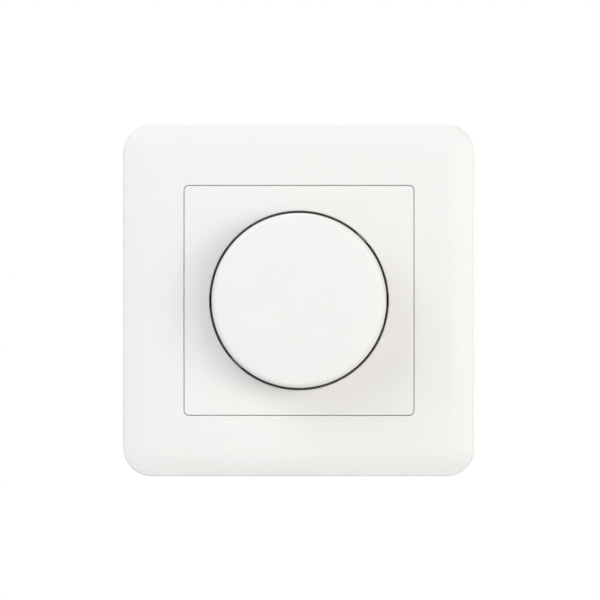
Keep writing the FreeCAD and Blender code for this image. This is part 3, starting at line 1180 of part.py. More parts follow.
def level_trimmer():
    """Trimmer that sets the lowest light: body on the board and a slotted spindle in the turret."""
    body = new_body("trimmer_body", right=TRIMMER_RIGHT)
    top = f"({BOARD_TOP} + Dims.trimmer_high)"
    bore_deep = "(Dims.trimmer_stem_depth + Dims.trimmer_gap)"
    box(body, "TrimmerBlock", ("Dims.trimmer_side", "Dims.trimmer_side", "Dims.trimmer_high"),
        "0", "0", BOARD_TOP)
    cylinder(body, "TrimmerBore", "(Dims.trimmer_stem + 2 * Dims.trimmer_fit)", bore_deep,
             level=f"({top} - {bore_deep})", cut=True)

    spindle = new_body("trimmer_spindle", right=TRIMMER_RIGHT)
    start = f"({top} + Dims.trimmer_gap)"
    end = "(Dims.turret_height - Dims.trimmer_recess)"
    stem_end = f"({top} - Dims.trimmer_stem_depth)"
    cylinder(spindle, "Stem", "Dims.trimmer_stem", f"{start} + Dims.merge - {stem_end}", level=stem_end)
    cylinder(spindle, "Spindle", "Dims.trimmer_spindle", f"{end} - {start}", level=start)
    box(spindle, "DriverSlot", ("Dims.trimmer_slot", "Dims.trimmer_spindle",
                                "Dims.trimmer_slot_deep"), "0", "0",
        f"({end} - Dims.trimmer_slot_deep)", cut=True)


def terminals():
    """Three clamp blocks under the board with their slotted screws."""
    blocks = new_body("terminal_blocks", up=TERMINAL_MIDDLE)
    outlines = new_sketch(blocks, "BlockOutlines", level=TERMINAL_BACK)
    screw_holes = new_sketch(blocks, "ScrewHoles", level=TERMINAL_BACK)
    wire_holes = new_sketch(blocks, "WireHoles", "XZ", "Dims.terminal_long / 2")
    for across in TERMINAL_PLACES:
        rectangle(outlines, "Dims.terminal_wide", "Dims.terminal_long", across)
        circle(screw_holes, "(Dims.terminal_screw + 2 * Dims.terminal_screw_fit)", across)
        circle(wire_holes, "Dims.terminal_wire_hole", across, WIRE_LEVEL)
    pad(blocks, "Blocks", outlines, f"{BOARD_BACK} - {TERMINAL_BACK}")
    pocket(blocks, "ScrewHoleCuts", screw_holes, "Dims.terminal_screw_reach", back=True)
    pocket(blocks, "WireHoleCuts", wire_holes)

    screws = new_body("terminal_screws", up=TERMINAL_MIDDLE)
    head_back = f"({HOUSING_BACK} + Dims.terminal_screw_recess)"
    heads = new_sketch(screws, "HeadOutlines", level=head_back)
    shanks = new_sketch(screws, "ShankOutlines", level=TERMINAL_BACK)
    slots = new_sketch(screws, "SlotOutlines", level=head_back)
    for across in TERMINAL_PLACES:
        circle(heads, "Dims.terminal_screw_head", across)
        circle(shanks, "Dims.terminal_screw", across)
        rectangle(slots, "Dims.terminal_screw_head", "Dims.terminal_slot", across)
    pad(screws, "Heads", heads, f"{TERMINAL_BACK} - {head_back}")
    pad(screws, "Shanks", shanks, "Dims.terminal_screw_reach")
    pocket(screws, "Slots", slots, "Dims.terminal_slot", back=True)


def spreading_claw(side, turn, right):
    """One claw and the screw that draws it forward; the screw's ball head rocks in the ring."""
    screw = new_body(f"claw_screw_{side}", turn, right)
    ball_r, shank_r, bevel = "(Dims.claw_ball / 2)", "(Dims.claw_screw / 2)", "Dims.claw_screw_chamfer"
    flat = f"({CLAW_PIVOT} + Dims.claw_head_flat)"
    head_r = f"(sqrt({ball_r}^2 - Dims.claw_head_flat^2))"
    throat = f"({CLAW_PIVOT} - sqrt({ball_r}^2 - {shank_r}^2))"
    end = "(-Dims.claw_screw_long)"
    half = new_sketch(screw, "ScrewProfile", "XZ")
    outline(half, [("0", flat), (head_r, flat), (shank_r, throat), (shank_r, f"{end} + {bevel}"),
                   (f"{shank_r} - {bevel}", end), ("0", end)],
            arcs={1: ("0", CLAW_PIVOT)})
    revolve(screw, "Screw", half)
    cross_recess(screw, flat)

    # The claw is a bent strip: a tapped tab across the screw, a plate beside it and two teeth.
    claw = new_body(f"claw_{side}", turn, right)
    thick, outer, tail = "Dims.claw_thick", "Dims.claw_outer", "(-Dims.claw_tail)"
    strip = new_sketch(claw, "StripProfile", "XZ")
    outline(strip, [("-Dims.claw_inner", tail), (outer, tail), (outer, "-Dims.claw_front"),
                    (f"{outer} - {thick}", "-Dims.claw_front"),
                    (f"{outer} - {thick}", f"{tail} + {thick}"),
                    ("-Dims.claw_inner", f"{tail} + {thick}")])
    bent = pad(claw, "Strip", strip, "Dims.claw_wide", midplane=True)
    corner = Vector(value(outer), 0, value(tail))
    bend = round_edges(claw, "Bend", bent, "Dims.claw_bend",
                       lambda edge: edge.distToShape(Part.Vertex(corner))[0] < 1e-4)
    teeth = new_sketch(claw, "TeethOutline", level=tail)
    root, tip = f"{outer} - Dims.claw_bend - Dims.merge", f"{outer} + Dims.claw_tooth"
    for sign in ("", "-"):
        middle = f"({sign}(Dims.claw_wide - Dims.claw_tooth_wide) / 2)"
        half_root, half_tip = "Dims.claw_tooth_wide / 2", "Dims.claw_tooth_tip / 2"
        outline(teeth, [(root, f"{middle} - {half_root}"), (outer, f"{middle} - {half_root}"),
                        (tip, f"{middle} - {half_tip}"), (tip, f"{middle} + {half_tip}"),
                        (outer, f"{middle} + {half_root}"), (root, f"{middle} + {half_root}")])
    pad(claw, "Teeth", teeth, thick)
    hole = new_sketch(claw, "ScrewHole", level=tail)
    circle(hole, "(Dims.claw_screw + 2 * Dims.claw_hole_gap)")
    pocket(claw, "ScrewHoleCut", hole, thick, back=True)


cover_frame()
centre_plate()
rotary_knob()
knob_clip()
support_ring()
rear_housing()
front_cover()
lid_screws()
potentiometer()
push_switch()
control_shaft()
circuit_board()
choke()
board_parts()
level_trimmer()
terminals()
spreading_claw("right", 0, CLAW_REACH)
spreading_claw("left", 180, f"-{CLAW_REACH}")
document.recompute()

for thing in document.Objects:
    if "Invalid" in thing.State or "Error" in thing.State:
        raise RuntimeError(f"{thing.Label} did not build: {thing.State}")
for body in bodies:
    if body.Shape.isNull() or not body.Shape.isValid():
        raise RuntimeError(f"{body.Label} has no valid shape")
os.makedirs("parts", exist_ok=True)
for body in bodies:
    body.Shape.exportStep(os.path.join("parts", body.Label + ".step"))
    print(f"{body.Label}: {len(body.Shape.Solids)} solid(s), {body.Shape.Volume:.1f} cubic mm")
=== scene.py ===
import math

import bmesh
import bpy
from mathutils import Matrix, Vector


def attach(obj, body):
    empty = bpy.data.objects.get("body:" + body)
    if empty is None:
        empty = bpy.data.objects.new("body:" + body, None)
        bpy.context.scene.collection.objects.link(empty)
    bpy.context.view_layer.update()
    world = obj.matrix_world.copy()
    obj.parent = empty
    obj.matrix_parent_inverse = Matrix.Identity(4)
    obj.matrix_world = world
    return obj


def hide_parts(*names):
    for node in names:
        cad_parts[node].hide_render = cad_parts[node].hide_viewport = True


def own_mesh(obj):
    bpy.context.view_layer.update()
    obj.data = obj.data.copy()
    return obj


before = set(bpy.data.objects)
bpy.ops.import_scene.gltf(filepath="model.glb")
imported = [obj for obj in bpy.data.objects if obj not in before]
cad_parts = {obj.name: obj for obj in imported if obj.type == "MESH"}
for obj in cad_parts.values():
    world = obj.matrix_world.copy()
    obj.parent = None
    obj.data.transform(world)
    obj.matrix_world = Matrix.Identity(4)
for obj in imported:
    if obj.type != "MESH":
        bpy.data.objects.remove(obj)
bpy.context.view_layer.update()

scene = bpy.context.scene
MM = 0.001

# ---------------------------------------------------------------- Studio
# A packshot: the switch hangs upright before a white surround, with the camera square to it on
# a long lens. The main light is on the right, soft boxes lie above and on the upper left, so the
# knob throws a bluish shadow to the left and a fainter warm one below.


def linear(code):
    """An sRGB hex colour as the linear colour that a shader takes."""
    steps = [int(code[start:start + 2], 16) / 255 for start in (1, 3, 5)]
    return (*(v / 12.92 if v <= 0.04045 else ((v + 0.055) / 1.055) ** 2.4 for v in steps), 1.0)


def node(tree, kind, inputs=None, **settings):
    """Adds a node, sets it up, and sets each input or links it to a socket or to a node. A kind
    with no Node in its name is one of the shader nodes."""
    made = tree.nodes.new(kind if "Node" in kind else "ShaderNode" + kind)
    for name, setting in settings.items():
        setattr(made, name, setting)
    for name, source in (inputs or {}).items():
        if isinstance(source, bpy.types.Node):
            source = source.outputs[0]
        if isinstance(source, bpy.types.NodeSocket):
            tree.links.new(source, made.inputs[name])
        else:
            made.inputs[name].default_value = source
    return made


# The view is as wide as this at the level of the frame's face, and the switch stands a little
# off its middle.
CAMERA_DISTANCE = 2.0
CAMERA_RIGHT, CAMERA_UP = 0.24 * MM, 0.1 * MM
VIEW_LEVEL = 9.5 * MM
VIEW_WIDTH = 143.9 * MM

lens = bpy.data.cameras.new("Camera")
lens.sensor_width = 36.0
lens.lens = lens.sensor_width * (CAMERA_DISTANCE - VIEW_LEVEL) / VIEW_WIDTH
lens.clip_end = 20.0
camera = bpy.data.objects.new("Camera", lens)
camera.location = (CAMERA_RIGHT, -CAMERA_DISTANCE, CAMERA_UP)
camera.rotation_euler = (math.radians(90), 0, 0)
scene.collection.objects.link(camera)
scene.camera = camera
scene.view_settings.view_transform = "Standard"

surround = bpy.data.worlds.new("White_surround")
surround.use_nodes = True
tree = surround.node_tree
tree.nodes.clear()
ray = node(tree, "LightPath").outputs
seen = ray["Is Camera Ray"]
for kind in ("Is Glossy Ray", "Is Transmission Ray"):
    seen = node(tree, "Math", {0: seen, 1: ray[kind]}, operation="ADD", use_clamp=True)
ambient = node(tree, "Background", {"Color": linear("#FFFFFF"), "Strength": 0.150})
backdrop = node(tree, "Background", {"Color": linear("#FFFFFF"), "Strength": 1.0})
either = node(tree, "MixShader", {0: seen, 1: ambient, 2: backdrop})
node(tree, "OutputWorld", {"Surface": either})
scene.world = surround

# Each lamp has its colour, the share of full light that it gives a surface that faces it, its
# place and its side, in metres. The two strips graze the frame's edges from behind, and the back
# light is there for views from behind.
LAMPS = (
    ("Main_light", "#FFF2EB", 0.557, (0.75, -1.20, 0.0), 1.0),
    ("Right_box", "#F5FCFF", 0.275, (1.25, -0.75, 0.0), 1.0),
    ("Upper_box", "#E6F0FF", 0.157, (0.0, -1.20, 0.75), 1.0),
    ("Top_left_box", "#F2F4FF", 0.475, (-0.884, -0.75, 0.884), 1.0),
    ("Left_box", "#E6F1FF", 0.172, (-1.25, -0.75, 0.0), 1.0),
    ("Top_edge_strip", "#FFFAF3", 0.326, (0.0, 0.30, 1.4), 0.5),
    ("Right_edge_strip", "#FFF3E7", 0.050, (1.4, 0.30, 0.1), 0.5),
    ("Back_light", "#FFFFFF", 0.450, (0.6, 1.5, 0.05), 0.4),
)
for name, colour, share, place, side in LAMPS:
    lamp = bpy.data.lights.new(name, "AREA")
    lamp.shape = "SQUARE"
    lamp.size = side
    lamp.color = linear(colour)[:3]
    lamp.energy = share * math.pi ** 2 * Vector(place).length_squared
    holder = bpy.data.objects.new(name, lamp)
    holder.location = place
    holder.rotation_euler = Vector(place).to_track_quat("Z", "Y").to_euler()
    scene.collection.objects.link(holder)

FLOOR_LEVEL = -0.16
FLOOR_HALF = 0.9


def mesh_object(name, corners, faces, smooth_below=None):
    """A mesh object from its corners and faces, smooth where its faces meet below an angle."""
    mesh = bpy.data.meshes.new(name)
    mesh.from_pydata(corners, [], faces)
    made = bpy.data.objects.new(name, mesh)
    scene.collection.objects.link(made)
    tidy_mesh(mesh, smooth_below)
    return made


def tidy_mesh(mesh, smooth_below):
    """Merges doubled corners, turns every face outwards, and smooths the gentle edges."""
    work = bmesh.new()
    work.from_mesh(mesh)
    bmesh.ops.remove_doubles(work, verts=work.verts, dist=1e-7)
    bmesh.ops.dissolve_degenerate(work, edges=work.edges, dist=1e-7)
    bmesh.ops.recalc_face_normals(work, faces=work.faces)
    work.to_mesh(mesh)
    work.free()
    if smooth_below is not None:
        mesh.shade_smooth()
        mesh.set_sharp_from_angle(angle=math.radians(smooth_below))


SIDES = ((-1, -1), (1, -1), (1, 1), (-1, 1))
floor = mesh_object("Floor", [(FLOOR_HALF * x, FLOOR_HALF * y, FLOOR_LEVEL) for x, y in SIDES],
                    [(0, 1, 2, 3)])
paper = bpy.data.materials.new("Pale_paper")
paper.use_nodes = True
sheet = paper.node_tree.nodes["Principled BSDF"].inputs
sheet["Base Color"].default_value = linear("#EEEEEC")
sheet["Roughness"].default_value = 0.9
floor.data.materials.append(paper)

# ---------------------------------------------------------------- Rear housing
# A cup of grey thermoset with glass fibre, moulded in a spark-eroded tool. It has the board's
# shelf, the terminal chambers, five vents, and a ramp for the claw on each side.


def smoothing_tree():
    """A tree that merges a CAD mesh's loose triangles and smooths it where they nearly line up."""
    tree = bpy.data.node_groups.new("Smooth_facets", "GeometryNodeTree")
    tree.interface.new_socket("Geometry", in_out="INPUT", socket_type="NodeSocketGeometry")
    limit = tree.interface.new_socket("Sharp above", in_out="INPUT", socket_type="NodeSocketFloat")
    limit.default_value = math.radians(25)
    tree.interface.new_socket("Geometry", in_out="OUTPUT", socket_type="NodeSocketGeometry")
    given = node(tree, "NodeGroupInput").outputs
    shape = node(tree, "GeometryNodeMergeByDistance", {"Geometry": given["Geometry"],
                                                       "Distance": 1e-6})
    bend = node(tree, "GeometryNodeInputMeshEdgeAngle")
    gentle = node(tree, "FunctionNodeCompare", {0: bend, 1: given["Sharp above"]},
                  operation="LESS_THAN")
    for domain, smooth in (("FACE", True), ("EDGE", gentle)):
        shape = node(tree, "GeometryNodeSetShadeSmooth", {
            "Geometry": shape, "Shade Smooth": smooth}, domain=domain)
    node(tree, "NodeGroupOutput", {"Geometry": shape})
    return tree


facet_tree = smoothing_tree()


def dress(material, *names):
    """Gives pieces that keep their CAD shape a finish, and smooths their facets."""
    for name in names:
        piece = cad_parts[name]
        piece.data.materials.clear()
        piece.data.materials.append(material)
        piece.modifiers.new("Smooth facets", "NODES").node_group = facet_tree
        piece.modifiers.new("Even shading", "WEIGHTED_NORMAL").keep_sharp = True


def start_material(name):
    """A new material with an empty node tree, and its Object coordinates."""
    made = bpy.data.materials.new(name)
    made.use_nodes = True
    made.node_tree.nodes.clear()
    return made, made.node_tree, node(made.node_tree, "TexCoord").outputs["Object"]


def end_material(tree, links, **numbers):
    """Joins a material's colour, roughness and relief in one shader, and sets its numbers."""
    skin = node(tree, "BsdfPrincipled", links)
    for name, number in numbers.items():
        skin.inputs[name.replace("_", " ")].default_value = number
    node(tree, "OutputMaterial", {"Surface": skin})
    return skin


def lay_over(tree, skin, share, colour):
    """Lays a second colour over a finished material, as far as the share says."""
    under = skin.inputs["Base Color"].links[0].from_socket
    both = node(tree, "Mix", {0: share, 6: under, 7: linear(colour)}, data_type="RGBA")
    tree.links.new(both.outputs[2], skin.inputs["Base Color"])


def moulded(name, low, high, cloud, grain, depth, sheen, ior=1.5, glow=0.0, edge=0.12):
    """A moulded plastic: its colour drifts between two tones in clouds, and the tool's spark
    grain roughens it. Cloud, grain, depth and edge are in millimetres, sheen is the roughness
    range, glow is how much light goes into the skin, and edge is how far sharp edges are eased."""
    made, tree, where = start_material(name)
    clouds = node(tree, "TexNoise", {"Vector": where, "Scale": 1 / (cloud * MM),
                                     "Detail": 4.0, "Roughness": 0.6})
    tint = node(tree, "Mix", {0: clouds, 6: linear(low), 7: linear(high)}, data_type="RGBA")
    spark = node(tree, "TexNoise", {"Vector": where, "Scale": 1 / (grain * MM), "Detail": 2.0})
    gloss = node(tree, "MapRange", {"Value": spark, "To Min": sheen[0], "To Max": sheen[1]})
    relief = node(tree, "Bump", {"Height": spark, "Strength": 1.0, "Distance": depth * MM})
    if edge:
        eased = node(tree, "Bevel", {"Radius": edge * MM}, samples=4)
        tree.links.new(eased.outputs[0], relief.inputs["Normal"])
    inside = {"Subsurface_Weight": glow, "Subsurface_Radius": (1.2 * MM, 1.0 * MM, 0.8 * MM),
              "Subsurface_Scale": 1.0} if glow else {}
    skin = end_material(tree, {"Base Color": tint.outputs[2], "Roughness": gloss, "Normal": relief},
                        IOR=ior, **inside)
    return made, tree, where, skin


# Glass-filled thermoset from a spark-eroded tool: dull mid grey, with fibres that float to the
# skin as short pale streaks. They are 0.02 mm thick, and drawn 0.12 mm thick so that they show.
grey_thermoset, tree, where, skin = moulded("Grey_thermoset_glass_filled", "#8D8F8E", "#A3A5A4",
                                            7.0, 0.25, 0.012, (0.48, 0.66), ior=1.53)
along = node(tree, "Mapping", {"Vector": where, "Scale": (2.2, 1.0, 0.4)})
fibres = node(tree, "TexNoise", {"Vector": along, "Scale": 1 / (0.3 * MM), "Detail": 1.0})
showing = node(tree, "MapRange", {"Value": fibres, "From Min": 0.62, "From Max": 0.72,
                                  "To Max": 0.5})
lay_over(tree, skin, showing, "#B9BBB8")
dress(grey_thermoset, "rear_housing")

# ---------------------------------------------------------------- Terminals
# Three clamp blocks milled from brass bar, each with a steel screw that presses the wire. They
# drop into the housing's chambers before the board closes them.


def metal(name, low, high, cloud, grain, depth, sheen):
    """A bare or plated metal: two tones in clouds, and a directional grain from rolling, drawing
    or turning, with sharp edges eased a little. Cloud and depth are in millimetres, and grain
    is its length along each axis."""
    made, tree, where = start_material(name)
    clouds = node(tree, "TexNoise", {"Vector": where, "Scale": 1 / (cloud * MM), "Detail": 3.0})
    spread = node(tree, "MapRange", {"Value": clouds, "From Min": 0.3, "From Max": 0.7})
    tint = node(tree, "Mix", {0: spread, 6: linear(low), 7: linear(high)}, data_type="RGBA")
    lined = node(tree, "Mapping", {"Vector": where, "Scale": [1 / (step * MM) for step in grain]})
    lines = node(tree, "TexNoise", {"Vector": lined, "Scale": 1.0, "Detail": 3.0,
                                    "Roughness": 0.65})
    gloss = node(tree, "MapRange", {"Value": lines, "From Min": 0.3, "From Max": 0.7,
                                    "To Min": sheen[0], "To Max": sheen[1]})
    eased = node(tree, "Bevel", {"Radius": 0.08 * MM}, samples=4)
    relief = node(tree, "Bump", {"Height": lines, "Strength": 1.0, "Distance": depth * MM,
                                 "Normal": eased})
    skin = end_material(tree, {"Base Color": tint.outputs[2], "Roughness": gloss, "Normal": relief},
                        Metallic=1.0)
    return made, tree, where, skin


# Milled brass: warm yellow, with the cutter's marks 0.3 mm apart across the block.
milled_brass = metal("Brass_milled", "#C9A14E", "#DDBB6C", 4.0, (3.0, 0.3, 3.0), 0.006,
                     (0.26, 0.44))[0]
dress(milled_brass, "terminal_blocks")

# Steel turned on a lathe, zinc plated and blue passivated: cool bright grey with fine rings round
# the axis, and a faint straw tint where the passivation is thin.
zinc_turned = metal("Zinc_plated_steel_turned", "#B4BCC6", "#CFCBBE", 2.5, (2.0, 0.12, 2.0), 0.004,
                    (0.22, 0.38))[0]


def start_tree(name, sizes):
    """A geometry tree with an input for the outline and for each named size, and its sockets."""
    tree = bpy.data.node_groups.new(name, "GeometryNodeTree")
    tree.interface.new_socket("Outline", in_out="INPUT", socket_type="NodeSocketGeometry")
    for size, start in sizes.items():
        kind = "NodeSocketInt" if isinstance(start, int) else "NodeSocketFloat"
        tree.interface.new_socket(size, in_out="INPUT", socket_type=kind).default_value = start
    tree.interface.new_socket("Material", in_out="INPUT", socket_type="NodeSocketMaterial")
    tree.interface.new_socket("Geometry", in_out="OUTPUT", socket_type="NodeSocketGeometry")
    return tree, node(tree, "NodeGroupInput").outputs


def end_tree(tree, given, made):
    """Makes a tree's instances real, gives them the material, and hands them out."""
    real = node(tree, "GeometryNodeRealizeInstances", {"Geometry": made})
    finished = node(tree, "GeometryNodeSetMaterial", {"Geometry": real,
                                                      "Material": given["Material"]})
    node(tree, "NodeGroupOutput", {"Geometry": finished})
    return tree


def stood(tree, across, level, up):
    """A place from its way across, its level in front of the wall, and its height."""
    deep = node(tree, "Math", {0: level, 1: -1.0}, operation="MULTIPLY")
    return node(tree, "CombineXYZ", {"X": across, "Y": deep, "Z": up})


def round_axis(tree, angle, radius):
    """How far across and up a point lies, from its angle and radius round the knob's axis."""
    return [node(tree, "Math", {0: node(tree, "Math", {0: angle}, operation=side),
                                1: radius}, operation="MULTIPLY")
            for side in ("COSINE", "SINE")]


TURNED_SIZES = {"Steps": 96, "Thread radius": 1.0, "Thread from": 0.0, "Thread to": 0.0,
                "Pitch": 1.0, "Thread depth": 0.0}


def turning_tree():
    """An outline of radius and level is turned round the knob's axis. Where it reaches the
    thread's radius between two levels, a right-hand thread is cut into it."""
    tree, given = start_tree("Turned_part", TURNED_SIZES)
    outline = node(tree, "GeometryNodeFilletCurve", {
        "Curve": given["Outline"], "Count": 6, "Limit Radius": True,
        "Radius": node(tree, "GeometryNodeInputRadius")}, mode="POLY")
    count = node(tree, "GeometryNodeAttributeDomainSize", {"Geometry": outline}, component="CURVE")
    columns = node(tree, "Math", {0: given["Steps"], 1: 1.0}, operation="ADD")
    grid = node(tree, "GeometryNodeMeshGrid", {"Vertices X": columns, "Vertices Y": count})
    # A corner's number gives its row, which is the outline's point, and how far round it lies.
    number = node(tree, "GeometryNodeInputIndex")
    row = node(tree, "Math", {0: number, 1: count}, operation="MODULO")
    turn = number
    for operation, by in (("DIVIDE", count), ("FLOOR", 0.0), ("DIVIDE", given["Steps"])):
        turn = node(tree, "Math", {0: turn, 1: by}, operation=operation)
    angle = node(tree, "Math", {0: turn, 1: 2 * math.pi}, operation="MULTIPLY")
    point = node(tree, "GeometryNodeSampleIndex", {
        "Geometry": outline, "Index": row, "Value": node(tree, "GeometryNodeInputPosition")},
        data_type="FLOAT_VECTOR", domain="POINT")
    drawn = node(tree, "SeparateXYZ", {0: point}).outputs
    outside = node(tree, "Math", {0: given["Thread radius"], 1: 1e-6}, operation="SUBTRACT")
    reached, past, short = [
        node(tree, "Math", {0: drawn[side], 1: limit}, operation=operation)
        for side, limit, operation in (("X", outside, "GREATER_THAN"),
                                       ("Y", given["Thread from"], "GREATER_THAN"),
                                       ("Y", given["Thread to"], "LESS_THAN"))]
    groove = drawn["Y"]
    for operation, by in (("DIVIDE", given["Pitch"]), ("SUBTRACT", turn), ("PINGPONG", 0.5),
                          ("MULTIPLY", given["Thread depth"]), ("MULTIPLY", 2.0),
                          ("MULTIPLY", reached), ("MULTIPLY", past), ("MULTIPLY", short)):
        groove = node(tree, "Math", {0: groove, 1: by}, operation=operation)
    radius = node(tree, "Math", {0: drawn["X"], 1: groove}, operation="SUBTRACT")
    across, up = round_axis(tree, angle, radius)
    turned = node(tree, "GeometryNodeSetPosition", {
        "Geometry": grid, "Position": stood(tree, across, drawn["Y"], up)})
    closed = node(tree, "GeometryNodeMergeByDistance", {"Geometry": turned, "Distance": 1e-7})
    return end_tree(tree, given, closed)


turned_part = turning_tree()


def nested(tree, group, given):
    """Puts a group into a tree, and links its inputs to the tree's inputs of the same names."""
    made = tree.nodes.new("GeometryNodeGroup")
    made.node_tree = group
    for socket in made.inputs:
        if socket.name in given:
            tree.links.new(given[socket.name], socket)
    return made


def screw_tree():
    """A turned and threaded screw gets a slot or cross in its head, and is set along a row."""
    recess = {"Recess level": 0.0, "Recess long": 0.002, "Recess wide": 0.001, "Recess deep": 0.001,
              "Cross": 1.0, "Count": 1, "First right": 0.0, "First up": 0.0, "Last right": 0.0,
              "Last up": 0.0}
    tree, given = start_tree("Screws_in_a_row", {**TURNED_SIZES, **recess})
    blank = nested(tree, turned_part, given)
    tall = node(tree, "Math", {0: given["Recess deep"], 1: 2.0}, operation="MULTIPLY")
    high = given["Recess long"]
    for operation, by in (("MULTIPLY", given["Cross"]), ("MAXIMUM", given["Recess wide"])):
        high = node(tree, "Math", {0: high, 1: by}, operation=operation)
    spot = stood(tree, 0.0, given["Recess level"], 0.0)
    for right, up in ((given["Recess long"], given["Recess wide"]), (given["Recess wide"], high)):
        bar = node(tree, "GeometryNodeMeshCube", {
            "Size": node(tree, "CombineXYZ", {"X": right, "Y": tall, "Z": up})})
        bar = node(tree, "GeometryNodeTransform", {"Geometry": bar, "Translation": spot})
        blank = node(tree, "GeometryNodeMeshBoolean", {"Mesh 1": blank, "Mesh 2": bar},
                     operation="DIFFERENCE", solver="EXACT")
    first, last = [node(tree, "CombineXYZ", {"X": given[end + " right"],
                                             "Z": given[end + " up"]})
                   for end in ("First", "Last")]
    row = node(tree, "GeometryNodeMeshLine", {"Count": given["Count"], "Start Location": first,
                                              "Offset": last}, mode="END_POINTS")
    set_out = node(tree, "GeometryNodeInstanceOnPoints", {"Points": row, "Instance": blank})
    return end_tree(tree, given, set_out)


screws = screw_tree()


def grown(name, points, tree, material, lengths, smooth_below=30, closed=False, **numbers):
    """Draws an outline through points of (across, level, rounding), lets a tree grow a piece from
    it, and keeps the piece as a plain mesh. Points and lengths are in millimetres."""
    line = bpy.data.curves.new(name, "CURVE")
    line.dimensions = "3D"
    spline = line.splines.new("POLY")
    spline.points.add(len(points) - 1)
    spline.use_cyclic_u = closed
    for point, (across, level, *rounding) in zip(spline.points, points):
        point.co = (across * MM, level * MM, 0, 1)
        point.radius = rounding[0] * MM if rounding else 0.0
    drawn = bpy.data.objects.new(name + "_outline", line)
    scene.collection.objects.link(drawn)
    stage = drawn.modifiers.new(tree.name, "NODES")
    stage.node_group = tree
    sizes = {"Material": material, **numbers}
    sizes.update((size, length * MM) for size, length in lengths.items())
    for socket in tree.interface.items_tree:
        size = socket.name.replace(" ", "_")
        if socket.in_out == "INPUT" and size in sizes:
            stage[socket.identifier] = sizes[size]
    ready = drawn.evaluated_get(bpy.context.evaluated_depsgraph_get())
    mesh = bpy.data.meshes.new_from_object(ready)
    mesh.name = name
    # What a cutter leaves bare takes the piece's own material.
    mesh.materials.clear()
    mesh.materials.append(material)
    mesh.polygons.foreach_set("material_index", [0] * len(mesh.polygons))
    bpy.data.objects.remove(drawn)
    made = bpy.data.objects.new(name, mesh)
    scene.collection.objects.link(made)
    tidy_mesh(mesh, smooth_below)
    return made


M3 = {"Thread_radius": 1.5, "Pitch": 0.5, "Thread_depth": 0.28}


def threaded(thread, first, last):
    """Outline points along a threaded shank, eight to each turn of the thread where the outline
    runs forward. Where it runs back it has only the shank's two ends, and the shank stays plain."""
    count = max(1, round((last - first) / thread["Pitch"] * 8))
    return [(thread["Thread_radius"], first + (last - first) * step / count)
            for step in range(count + 1)]


# The screws are M3, slotted, and their heads stand in the housing's access holes.
HEAD_LEVEL, HEAD_FOOT, SCREW_END, HEAD_RADIUS = -21.7, -20.1, -17.1, 2.2
profile = [(0.0, HEAD_LEVEL), (HEAD_RADIUS, HEAD_LEVEL, 0.25), (HEAD_RADIUS, HEAD_FOOT),
           *threaded(M3, HEAD_FOOT, SCREW_END - 0.3), (1.2, SCREW_END), (0.0, SCREW_END)]
terminal_screws = grown("Terminal_screws", profile, screws, zinc_turned, {
    **M3, "Thread_from": -20.0, "Thread_to": -17.3, "Recess_level": HEAD_LEVEL, "Recess_long": 4.6,
    "Recess_wide": 0.8, "Recess_deep": 0.8, "First_right": -6.8, "First_up": -17.3,
    "Last_right": 6.8, "Last_up": -17.3}, Steps=40, Cross=0.0, Count=3)
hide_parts("terminal_screws")
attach(terminal_screws, "base")

# ---------------------------------------------------------------- Circuit board
# A glass epoxy board that rests on the housing's shelf. It carries a film capacitor, an
# electrolytic can, a fuse, a control chip, and two power transistors on an aluminium sink.

# Glass epoxy under green solder mask: a glossy dark green lacquer, in which the cloth shows as a
# fine check 0.4 mm apart. Brighter green bands are the copper tracks under the mask.
solder_mask, tree, where = start_material("Glass_epoxy_green_mask")
parts = node(tree, "SeparateXYZ", {0: where}).outputs
weave = node(tree, "TexChecker", {"Vector": where, "Scale": 1 / (0.4 * MM),
                                  "Color1": linear("#1C5A36"), "Color2": linear("#20633C")})
level = node(tree, "CombineXYZ", {"X": parts["X"], "Y": parts["Z"]})
runs = node(tree, "TexBrick", {"Vector": level, "Scale": 1 / (10 * MM), "Brick Width": 0.9,
                               "Row Height": 0.22, "Mortar Size": 0.035, "Mortar Smooth": 0.1,
                               "Color1": (0, 0, 0, 1), "Color2": (0, 0, 0, 1),
                               "Mortar": (1, 1, 1, 1)})
tint = node(tree, "Mix", {0: runs, 6: weave, 7: linear("#2F8350")}, data_type="RGBA")
relief = node(tree, "Bump", {"Height": runs, "Strength": 1.0, "Distance": 0.03 * MM})
end_material(tree, {"Base Color": tint.outputs[2], "Normal": relief}, Roughness=0.32, IOR=1.52,
             Coat_Weight=0.4, Coat_Roughness=0.12)
dress(solder_mask, "circuit_board")

# Flame-resistant polyester box, potted: glossy warm yellow with a faint pull of the resin.
film_box = moulded("Polyester_box_yellow", "#C79A2C", "#D6AB3C", 3.0, 0.5, 0.006, (0.24, 0.34))[0]
dress(film_box, "film_capacitor")

# Shrunk sleeve on an aluminium can: glossy near-black blue on the side with one pale stripe for
# the minus pole, and bare aluminium, stamped with a cross for the vent, on the top.
CAN_RIGHT, CAN_UP = -7.8, -18.0
can_sleeve, tree, where = start_material("Shrunk_sleeve_on_aluminium_can")
centred = node(tree, "Mapping", {"Vector": where, "Location": (-CAN_RIGHT * MM, 0, -CAN_UP * MM)})
parts = node(tree, "SeparateXYZ", {0: centred}).outputs
away = node(tree, "Math", {0: parts["X"], 1: parts["X"]}, operation="MULTIPLY")
away = node(tree, "Math", {0: parts["Z"], 1: parts["Z"], 2: away}, operation="MULTIPLY_ADD")
away = node(tree, "Math", {0: away}, operation="SQRT")
facing = node(tree, "TexCoord").outputs["Normal"]
facing = node(tree, "SeparateXYZ", {0: facing}).outputs["Y"]
top = node(tree, "Math", {0: facing, 1: -0.7}, operation="LESS_THAN")
inner = node(tree, "Math", {0: away, 1: 2.6 * MM}, operation="LESS_THAN")
bare = node(tree, "Math", {0: top, 1: inner}, operation="MULTIPLY")
